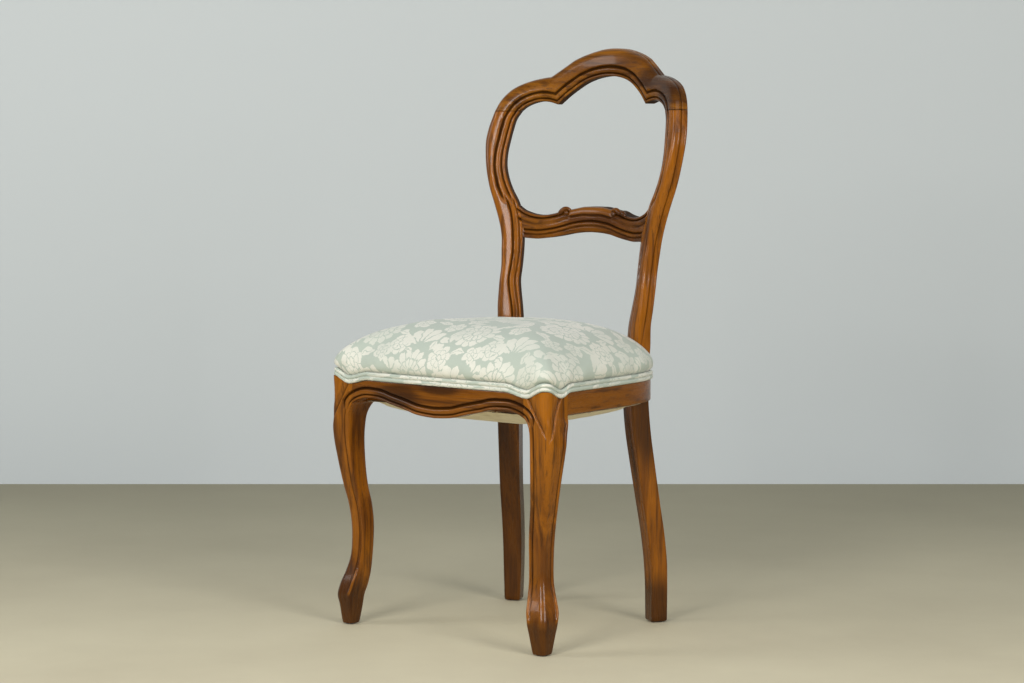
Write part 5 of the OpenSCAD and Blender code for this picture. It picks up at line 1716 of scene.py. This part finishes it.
@dataclass
class SeatShape:
    """Outline of the seat, and the rings of its cover."""

    apron: ApronShape
    side: SideShape
    back: BackShape
    seat_z: float = 409.0
    crown: float = 97.0
    skirt: float = -3.7
    rear_y: float = 123.55
    middle_y: float = -51.47
    points: int = 300

    def __post_init__(self) -> None:
        """Lay out the smooth line round the seat, with the place of each point along it."""
        apron, corner_r = self.apron, self.apron.corner_r
        side_x, side_y = apron.block_high
        cx, cy = side_x - corner_r, apron.block_low[1] + corner_r
        half = [
            (x, apron.front_y(min(x, apron.block_low[0])), apron.top(x) - self.seat_z)
            for x in np.linspace(0, cx, 60)
        ]
        for a in np.linspace(0, math.pi / 2, 14)[1:]:
            lift = apron.knee_lift(abs(a - math.pi / 4) * corner_r, 1.0)
            half.append((cx + corner_r * math.sin(a), cy - corner_r * math.cos(a), lift))
        half += [(side_x, y, apron.side_top(y) - self.seat_z) for y in np.linspace(cy, side_y, 16)[1:]]
        shares = np.concatenate([np.linspace(0, 0.85, 40)[1:], np.linspace(0.85, 1.0, 22)[1:]])
        half += [(*self.side.outer(t), 0.0) for t in shares]
        outer = self.back.post_point(400, 29.4, 14.01)[:2]
        inner = np.array([self.rear_x(self.rear_y), self.rear_y])
        half += [(*(outer + (inner - outer) * k), 0.0) for k in np.linspace(0, 1, 10)[1:]]
        half += [(x, self.rear_y, 0.0) for x in np.linspace(inner[0], 0, 24)[1:]]
        line = np.array(half, float)
        at = run_length(line[:, :2])
        even = np.linspace(0, at[-1], self.points // 2 + 1)
        right = np.column_stack([np.interp(even, at, line[:, i]) for i in range(3)])
        left = right[1:-1][::-1] * [-1, 1, 1]
        self.line = np.vstack([right, left])
        self.along = np.arange(len(self.line)) * even[1]
        ahead = np.roll(self.line, -1, axis=0) - np.roll(self.line, 1, axis=0)
        out = np.column_stack([ahead[:, 1], -ahead[:, 0]])
        self.out = out / np.linalg.norm(out, axis=1)[:, None]
        for _ in range(3):
            self.out = np.roll(self.out, 1, axis=0) + self.out + np.roll(self.out, -1, axis=0)
            self.out /= np.linalg.norm(self.out, axis=1)[:, None]

    def rear_x(self, y: float) -> float:
        """Place of a post's inner face where it crosses a line across the chair."""
        return POST_INNER[0] + (y - POST_INNER[1]) * POST_SLANT

    def ring(self, off: float, share: float, rise: float, lift: float) -> np.ndarray:
        """The outline moved out, drawn in and raised.

        Args:
            off: How far it is moved out.
            share: Size, as a share of the whole.
            rise: Height above the seat line.
            lift: Share of the dips and the rise at the knees.

        Returns:
            The points of the ring.
        """
        middle = np.array([0.0, self.middle_y])
        flat = self.line[:, :2] + self.out * off
        if share < 0.9:
            flat = relaxed(flat, int((0.98 - share) * 60))
        flat = middle + (flat - middle) * share
        return np.column_stack([flat, self.seat_z + rise + self.line[:, 2] * lift])

    def surface(self, inset: float, count: int, start: int = 0) -> np.ndarray:
        """Rings of the cover from its lower edge to the crown.

        Args:
            inset: How far the surface lies inside the cover.
            count: Number of rings.
            start: First row of the profile that is used.

        Returns:
            The rings.
        """
        rows = [
            (self.skirt, 1, 0.6, 1), (self.skirt, 1, 13.2, 1), (-1.2, 1, 15.0, 0.95), (2.9, 1, 18.6, 0.75),
            (4.4, 1, 25.5, 0.3), (4.6, 0.993, 32.0, 0.08), (4.5, 0.978, 39.0, 0), (4.5, 0.95, 46.4, 0),
            (4.5, 0.88, 60.2, 0), (4.5, 0.76, 75.2, 0), (4.5, 0.55, 89.0, 0), (4.5, 0.28, 95.6, 0),
            (4.5, 0.015, self.crown, 0),
        ][start:]
        rings = np.array([
            self.ring(off - inset, share, rise - (inset if share < 1 else 0), lift)
            for off, share, rise, lift in rows
        ])
        steps = np.linalg.norm(np.diff(rings, axis=0), axis=2).mean(axis=1)
        at = np.concatenate([[0], np.cumsum(steps)])
        spread = np.interp(np.linspace(0, 1, count), np.linspace(0, 1, len(at)), at)
        even = np.linspace(0, at[-1], count)
        return Spline(at, rings)(0.55 * spread + 0.45 * even)


COARSER = 3  # the simulated cloth has every third ring and point of the cover


@dataclass
class SeatCover:
    """The cover in damask over the stuffed pad."""

    shape: SeatShape
    finishes: Finishes
    cloth: float = 1.2
    give: float = 3.0
    under: float = 3.6

    def build(self) -> None:
        """Build the cover."""
        rings = self.settled(self.softened(self.shape.surface(0.0, 64)))
        top = rings[-1].mean(axis=0)
        lengths = np.linalg.norm(np.diff(rings, axis=0), axis=2)
        down = np.concatenate([np.cumsum(lengths[::-1], axis=0)[::-1], np.zeros((1, len(rings[0])))]) + 3.0
        aim = rings[-12][:, :2] - top[:2]
        aim /= np.linalg.norm(aim, axis=1)[:, None]
        maps = aim[None] * down[..., None] * MM + [0.31, 0.27]
        shape = Shape()
        shape.loft(rings, maps=maps, capped=(False, True))
        piece = shape.finish("seat_cover_damask", self.finishes.damask, ("seat_cover",))
        thicken(piece, self.cloth)
        self.area(rings)
        log.info("seat cover")

    def area(self, rings: np.ndarray) -> float:
        """Area of the cloth, in square metres."""
        a = rings[:-1] - rings[1:]
        b = np.roll(rings, -1, axis=1)[:-1] - rings[:-1]
        return float(np.linalg.norm(np.cross(a, b), axis=2).sum()) * MM * MM

    def settled(self, rings: np.ndarray) -> np.ndarray:
        """The rings after a short cloth simulation, pinned along the lower edge and pressed out.

        Args:
            rings: Rings of the cover, from its lower edge up.

        Returns:
            The rings, moved by no more than `give`.
        """
        coarse = rings[::COARSER, ::COARSER]
        shape = Shape()
        shape.loft(coarse)
        mesh = bpy.data.meshes.new("cover_at_work")
        shape.bm.to_mesh(mesh)
        shape.bm.free()
        soft = linked("cover_at_work", mesh)
        start = np.array([v.co for v in mesh.vertices])
        tree = KDTree(len(start))
        for i, co in enumerate(start):
            tree.insert(co, i)
        tree.balance()
        places = np.array([[tree.find(p * MM)[1] for p in ring] for ring in coarse])
        soft.vertex_groups.new(name="pin").add([int(i) for i in places[:2].ravel()], 1.0, "REPLACE")
        cloth = soft.modifiers.new("cloth", "CLOTH").settings
        cloth.quality = 6
        cloth.mass = 0.3
        cloth.tension_stiffness = 25
        cloth.compression_stiffness = 12
        cloth.bending_stiffness = 0.6
        cloth.use_pressure = True
        cloth.uniform_pressure_force = 4
        cloth.vertex_group_mass = "pin"
        cloth.effector_weights.gravity = 0
        for frame in range(1, 21):
            bpy.context.scene.frame_set(frame)
        after = soft.evaluated_get(bpy.context.evaluated_depsgraph_get()).data
        shift = (np.array([v.co for v in after.vertices]) - start)[places] / MM
        reach = float(np.linalg.norm(shift, axis=2).max())
        shift *= min(1.0, self.give / max(reach, 1e-6))
        bpy.data.objects.remove(soft)
        bpy.data.meshes.remove(mesh)
        bpy.context.scene.frame_set(1)
        log.info("cloth of the cover: moved up to %.1f mm, kept to %.1f mm", reach, self.give)
        count = rings.shape[1] // COARSER
        across = Spline(np.arange(len(coarse)), shift)(np.arange(len(rings)) / COARSER)
        around = np.concatenate([across, across[:, :1]], axis=1).swapaxes(0, 1)
        moves = Spline(np.arange(count + 1), around)
        return rings + moves(np.arange(rings.shape[1]) / COARSER).swapaxes(0, 1)

    def softened(self, rings: np.ndarray) -> np.ndarray:
        """The slight pulls and fullness of stuffed cloth.

        Args:
            rings: Rings of the smooth seat.

        Returns:
            The moved rings.
        """
        out = rings.copy()
        height = (rings[..., 2] - self.shape.seat_z) / self.shape.crown
        x, y, turn = rings[..., 0], rings[..., 1], self.shape.along * 2 * math.pi
        wave = np.sin(x * 0.021 + 0.7) * np.sin(y * 0.027 + 1.1) * 1.1 + np.sin(x * 0.055 + y * 0.041) * 0.45
        pull = np.sin(turn / 61.0) * 0.45 + np.sin(turn / 23.0 + 1.0) * 0.25
        out[..., 2] += wave * smooth(0.35, 0.8, height)
        out[..., :2] += self.shape.out[None] * (pull[None] * hump(height, 0.27, 0.2))[..., None]
        return out

    def pad(self) -> None:
        """Build the stuffed pad."""
        rings = self.shape.surface(self.under, 34, start=1)
        low = self.shape.ring(self.shape.skirt - self.under, 1, 12.4, 0)
        hollow = [
            self.shape.ring(self.shape.skirt - 12, share, rise, 0)
            for share, rise in ((0.02, 47.8), (0.35, 47.6), (0.7, 46.8), (0.84, 40.0), (0.96, 13.5))
        ]
        rings[..., 2] = np.maximum(rings[..., 2], low[0][2] + 0.4)
        shape = Shape()
        shape.loft(np.concatenate([hollow, [low], rings]))
        piece = shape.finish("seat_pad_stuffed", self.finishes.calico, ("seat_pad",))
        log.info("stuffed pad")


@dataclass
class DoubleWelt:
    """Two cords of the cover's cloth, side by side along the seat's lower edge."""

    shape: SeatShape
    finishes: Finishes
    radius: float = 3.5

    def run(self, shape: Shape, first: int, last: int, level: int) -> None:
        """One cord along part of the outline.

        Args:
            shape: The welt's mesh.
            first: First point of the outline.
            last: Last point of the outline.
            level: 0 for the lower cord, 1 for the upper one.
        """
        seat = self.shape
        index = np.arange(first, last + 1)
        fine = np.linspace(first, last, len(index) * 3)
        wrapped = index % len(seat.line)
        line = Spline(index, np.column_stack([seat.line[wrapped], seat.out[wrapped]]))(fine)
        lie = 0.25 * np.sin(fine * 1.7 + level * 2.0) + 0.2 * np.sin(fine * 0.61 + level)
        off = seat.skirt + self.radius + 0.3 + (0.5 if level == 0 else 0.0) + 0.3 * lie
        rise = 0.5 + self.radius + level * (2 * self.radius - 0.5)
        out = np.column_stack([line[:, 3:], np.zeros(len(line))])
        path = line[:, :3] + out * off[:, None]
        path[:, 2] += seat.seat_z + rise + 0.3 * lie
        cosine, sine = circle(14)
        size = self.radius * (1 + 0.03 * np.sin(fine * 2.9 + level))
        ends = np.minimum(np.arange(len(fine)), np.arange(len(fine))[::-1])
        size = size * np.sqrt(np.clip((ends + 0.5) / 2.5, 0.1, 1))
        flat = 1.08 - 0.16 * cosine**2
        section = out[:, None] * cosine * flat + np.array([0, 0, 1.0]) * sine
        rings = path[:, None] + size[:, None, None] * section
        length = run_length(path)
        log.info("welt cord of %.0f mm", length[-1])
        slant = np.linspace(0, 22.0, 14, endpoint=False)[None]
        along = (length[:, None] + slant) * MM * 0.72 + 0.05 * level
        across = (cosine[..., 0] * 9.0 + 0.35 * length[:, None] + 20) * MM + 0.03 * level
        shape.loft(rings, maps=np.stack([along, across], axis=-1))

    def build(self) -> None:
        """Build the front run round to the posts, and the run between the posts."""
        shape = Shape()
        count = len(self.shape.line)
        ends = ((166.6, 112.6), (self.shape.rear_x(123.5) + 2.0, 123.5))
        half = self.shape.line[:count // 2, :2]
        right, rear = (int(np.argmin(np.linalg.norm(half - end, axis=1))) for end in ends)
        for level in (0, 1):
            self.run(shape, -right, right, level)
            self.run(shape, rear, count - rear, level)
        piece = shape.finish("double_welt_cords", self.finishes.damask, ("double_welt",))
        log.info("double welt")


SPRINGS = ((0, 0), (88, 62), (88, -62), (-88, 62), (-88, -62))  # places of the springs round the middle


@dataclass
class SeatInside:
    """Springs, webbing and canvas inside the seat."""

    shape: SeatShape
    finishes: Finishes
    rail_z: float = 374.0
    sag: float = 12.0
    strap_w: float = 50.0
    strap_t: float = 1.5
    gap_x: float = 88.0
    gap_y: float = 80.0
    rail_run: float = 283.5
    coils: int = 4
    spring_low: float = 364.0
    spring_h: float = 88.0

    def strap(self, name: str, path: np.ndarray, across: np.ndarray) -> None:
        """One webbing strap.

        Args:
            name: Name of the strap.
            path: Points of its middle line.
            across: Direction of its width.
        """
        long = name.startswith("long")
        node = "long_webbing" if long else "cross_webbing"
        steps = np.linspace(-0.5, 0.5, 11)
        wide = np.concatenate([steps, steps[::-1]])[None, :, None] * self.strap_w
        thick = np.repeat([0.5, -0.5], 11)[None, :, None] * [0, 0, self.strap_t]
        length = run_length(path)
        maps = np.stack(np.broadcast_arrays(wide[..., 0] + self.strap_w / 2, length[:, None]), axis=-1) * MM
        shape = Shape()
        shape.loft(path[:, None] + wide * across + thick, maps=maps)
        piece = shape.finish(name, self.finishes.webbing, (node,), 40)

    def build(self) -> None:
        """Build the straps, springs and canvas."""
        middle, side = self.shape.middle_y, self.shape.side
        z = self.rail_z - self.strap_t / 2
        y = np.array([-202.4, -190.0, -178.0, -140.0, middle - 60, middle + 60, 62.0, 100.0, 106.0, 116.4])
        drop = np.array([0, 0, 0.6, 7.5, self.sag, self.sag, 7.5, 0.4, 0, 0])
        for k in (-1, 0, 1):
            path = Spline(y, np.column_stack([np.full(len(y), k * self.gap_x), y, z - drop]))
            self.strap(f"long_strap_{k + 2}", path(np.linspace(y[0], y[-1], 60)), np.array([1.0, 0, 0]))
        low = self.sag + 1.6
        for k in (-1, 0, 1):
            y = middle + k * self.gap_y
            t = (y + self.strap_w / 2 - side.start[1]) / self.rail_run
            far = float((side.inner(t)[0] + side.outer(t)[0]) / 2)
            x = np.array([0, 60, 113, far - 15, far - 8, far])
            drop = np.array([low, low, low, 1.0, 0.1, 0.0])
            half = Spline(x, np.column_stack([x, np.full(6, y), z - drop]))(np.linspace(0, far, 40))
            path = np.vstack([half[:0:-1] * [-1, 1, 1], half])
            self.strap(f"cross_strap_{k + 2}", path, np.array([0, 1.0, 0]))
        self.springs()
        self.canvas()
        log.info("inside of the seat")

    def springs(self) -> None:
        """Five hourglass springs."""
        shape = Shape()
        middle = self.shape.middle_y
        for x, y in SPRINGS:
            t = np.linspace(0, 1, self.coils * 30 + 1)
            angle = t * self.coils * 2 * math.pi
            radius = 24 + 10 * (2 * t - 1) ** 2
            rise = self.spring_low + self.spring_h * (t * 0.92 + 0.08 * smooth(0, 1, t))
            path = np.column_stack([x + radius * np.cos(angle), middle + y + radius * np.sin(angle), rise])
            shape.tube(path, np.full(len(path), 1.9), 8)
        shape.finish("seat_springs_coiled", self.finishes.steel, ("seat_springs",))

    def canvas(self) -> None:
        """The canvas that lies over the springs."""
        rows = [(1.0, 0.0), (0.93, 15.3), (0.84, 28.9), (0.72, 34.0), (0.35, 34.0), (0.02, 34.0)]
        rings = np.array([self.shape.ring(-13.0, share, 12.6 + rise, 0) for share, rise in rows])
        at = np.arange(len(rings), dtype=float)
        rings = Spline(at, rings)(np.linspace(0, at[-1], 26))
        shape = Shape()
        shape.loft(rings, maps=rings[..., :2] * MM, capped=(False, True))
        piece = shape.finish("spring_canvas_cloth", self.finishes.canvas, ("spring_canvas",))
        thicken(piece, 0.9)


@dataclass
class BottomCloth:
    """The cream cloth tacked below the rails, which hangs in a shallow belly."""

    shape: SeatShape
    finishes: Finishes
    top: float = 371.45
    sag: float = 29.0
    cloth: float = 0.8

    def build(self) -> None:
        """Build the cloth."""
        line = np.array([
            (0, -194.5), (60, -194.5), (120, -194.5), (182, -194.5), (182, -168.5), (219, -168.5),
            *(self.shape.side.outer(t, 12.0) for t in np.linspace(0.12, 0.86, 12)),
            (147.0, 83.0), (112.0, 101.0), (112.0, 116.5), (60, 116.5), (0, 116.5),
        ], float)
        dense = []
        for a, b in zip(line[:-1], line[1:]):
            steps = max(2, int(np.linalg.norm(b - a) / 6))
            dense += [a + (b - a) * k / steps for k in range(steps)]
        right = np.array(dense + [line[-1]])
        flat = np.vstack([right, right[1:-1][::-1] * [-1, 1]])
        rings = []
        for share, drop in (
            (1, 0), (0.985, 0.0), (0.95, 0.02), (0.9, 0.17), (0.86, 0.32), (0.7, 0.62), (0.5, 0.84),
            (0.25, 0.97), (0.015, 1.0),
        ):
            ring = relaxed(flat, int((1 - share) * 40)) * share + [0, self.shape.middle_y * (1 - share)]
            rings.append(np.column_stack([ring, np.full(len(ring), self.top - self.sag * drop)]))
        rings = Spline(np.arange(len(rings)), rings)(np.linspace(0, len(rings) - 1, 44))
        pulls = 0.35 * np.sin(np.arctan2(rings[..., 1], rings[..., 0]) * 22)
        rings[..., 2] += pulls * hump(np.linalg.norm(rings[..., :2], axis=2), 170, 40)
        shape = Shape()
        shape.loft(rings, maps=rings[..., :2] * MM, capped=(False, True))
        piece = shape.finish("bottom_cloth_calico", self.finishes.calico, ("bottom_cloth",))
        thicken(piece, self.cloth)
        log.info("bottom cloth")


@dataclass
class PlainParts:
    """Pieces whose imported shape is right, which only get their finish."""

    finishes: Finishes

    def build(self) -> None:
        """Give each node its finish."""
        beech = [n for n in frame["nodes"] if n.endswith("dowels") or "_block_" in n]
        dark = ["block_screws", "webbing_tacks", "cloth_tacks", "foot_glides"]
        made = self.finishes
        for names, material in ((beech, made.beech), (dark, made.dark_steel), (["rear_rail"], made.mid)):
            for name in names:
                slots = frame["nodes"][name].data.materials
                if len(slots):
                    slots[0] = material
                else:
                    slots.append(material)
        log.info("plain parts")


# The studio

SENSOR = 36.0  # width of the camera's sensor, in millimetres
# The lights: name, place, size, power in watts and colour.
LIGHTS = (
    ("key", (0.85, -3.9, 2.05), (1.3, 1.3), 80, (1.0, 0.98, 0.95)),
    ("right", (4.0, -1.0, 2.0), (1.4, 1.8), 86, (1.0, 0.99, 0.97)),
    ("left", (-2.2, -2.7, 2.0), (1.2, 1.8), 34, (0.97, 0.99, 1.0)),
    ("above", (1.2, -1.5, 3.0), (2.0, 2.0), 20, (1.0, 1.0, 1.0)),
)


@dataclass
class Studio:
    """Camera, lights, floor and backdrop."""

    camera_at: Triple = (2.9308, -3.3536, 0.8103)
    yaw: float = 41.5106
    pitch: float = -4.4068
    focal_px: float = 2706.0
    width_px: float = 1024.0
    wall_off: float = 6.22
    aim_z: float = 0.45
    sky: float = 0.235

    def camera(self) -> None:
        """Place the camera as in the photograph."""
        data = bpy.data.cameras.new("camera")
        data.sensor_width = SENSOR
        data.lens = self.focal_px * SENSOR / self.width_px
        data.clip_end = 100
        camera = linked("camera", data)
        camera.location = self.camera_at
        camera.rotation_euler = (math.radians(90 + self.pitch), 0, math.radians(self.yaw))
        bpy.context.scene.camera = camera

    def light(self, name: str, place: Triple, size: Pair, power: float, colour: Colour) -> None:
        """A soft light that faces the chair.

        Args:
            name: Its name.
            place: Where it stands.
            size: Its width and height.
            power: Its power in watts.
            colour: Its colour.
        """
        data = bpy.data.lights.new(name, "AREA")
        data.shape = "RECTANGLE"
        data.size, data.size_y = size
        data.energy = power
        data.color = colour
        lamp = linked(name, data)
        lamp.location = place
        aim = np.array([0.0, 0.0, self.aim_z]) - place
        tilt = math.atan2(math.hypot(aim[0], aim[1]), -aim[2])
        lamp.rotation_euler = (tilt, 0, math.atan2(-aim[0], aim[1]))

    def backdrop(self) -> None:
        """A pale floor, and a pale wall behind the chair that is clear from its back."""
        ahead = np.array([-math.sin(math.radians(self.yaw)), math.cos(math.radians(self.yaw))])
        foot = np.array(self.camera_at[:2]) + ahead * self.wall_off
        turn = Matrix.Rotation(math.radians(self.yaw), 3, "Z")
        for name, size, tilt in (("floor", 14.0, 0.0), ("wall", 6.0, math.pi / 2)):
            bm = bmesh.new()
            made = bmesh.ops.create_grid(bm, x_segments=1, y_segments=1, size=size)["verts"]
            if tilt:
                bmesh.ops.rotate(bm, verts=made, matrix=Matrix.Rotation(tilt, 3, "X"))
                bmesh.ops.rotate(bm, verts=made, matrix=turn)
                bmesh.ops.translate(bm, verts=made, vec=(foot[0], foot[1], size))
            mesh = bpy.data.meshes.new(name)
            bm.to_mesh(mesh)
            bm.free()
            sheet = linked(name, mesh)
            mesh.materials.append(self.plaster() if tilt else self.concrete())
            sheet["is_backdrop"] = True

    def concrete(self) -> bpy.types.Material:
        """Finish of the floor, with painted shade that darkens it with distance from the camera."""
        n = Nodes("pale_floor")
        spots = n.ramp(
            n.noise(n.place(), 1.4, 6, 0.6), [(0.3, (0.56, 0.50, 0.355)), (0.7, (0.66, 0.60, 0.43))]
        )
        # painted shade: the floor turns darker the further it lies ahead of the camera
        far = n.vector("DOT_PRODUCT", n.place(), (-0.6627, 0.7488, 0.0))
        base = n.blend(n.step(far, -0.8, 1.8) * 0.75, spots, (0.26, 0.245, 0.175))
        n.bump(n.noise(n.place(), 60, 5, 0.6), 0.0006, 0.3)
        return n.shade(base_color=base, roughness=0.75, specular_ior_level=0.3)

    def plaster(self) -> bpy.types.Material:
        """Finish of the wall, which lets the view through from behind."""
        n = Nodes("pale_wall")
        n.bump(n.noise(n.place(), 30, 4, 0.6), 0.0004, 0.2)
        return n.shade(
            base_color=(0.625, 0.667, 0.682, 1), roughness=0.9, specular_ior_level=0.2,
            alpha=1.0 - n.get("NewGeometry", "Backfacing"),
        )

    def world(self) -> None:
        """Even pale light from all round."""
        world = bpy.data.worlds.new("studio")
        world.use_nodes = True
        background = next(n for n in world.node_tree.nodes if n.type == "BACKGROUND")
        background.inputs["Color"].default_value = (0.92, 0.96, 1.0, 1)
        background.inputs["Strength"].default_value = self.sky
        bpy.context.scene.world = world

    def build(self) -> None:
        """Set up the studio."""
        self.camera()
        self.world()
        self.backdrop()
        for name, place, size, power, colour in LIGHTS:
            self.light(name, place, size, power, colour)
        bpy.context.scene.view_settings.view_transform = "Standard"
        log.info("studio")


def main() -> None:
    """Build the chair and its studio, piece by piece."""
    logging.basicConfig(level=logging.INFO, format="%(message)s")
    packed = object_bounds()
    finishes = Finishes()
    back, apron, side = BackShape(), ApronShape(), SideShape()
    seat = SeatShape(apron, side, back)
    Studio().build()
    Posts(back, finishes).build()
    CrestRail(back, finishes).build()
    MidRail(back, finishes).build()
    FrontLegs(apron, finishes).build()
    FrontRail(apron, finishes).build()
    SideRails(side, finishes).build()
    cover = SeatCover(seat, finishes)
    cover.pad()
    cover.build()
    DoubleWelt(seat, finishes).build()
    SeatInside(seat, finishes).build()
    BottomCloth(seat, finishes).build()
    PlainParts(finishes).build()
    boxes = [[[float(v) for v in corner] for corner in box] for box in (packed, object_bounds())]


if __name__ == "__main__":
    main()
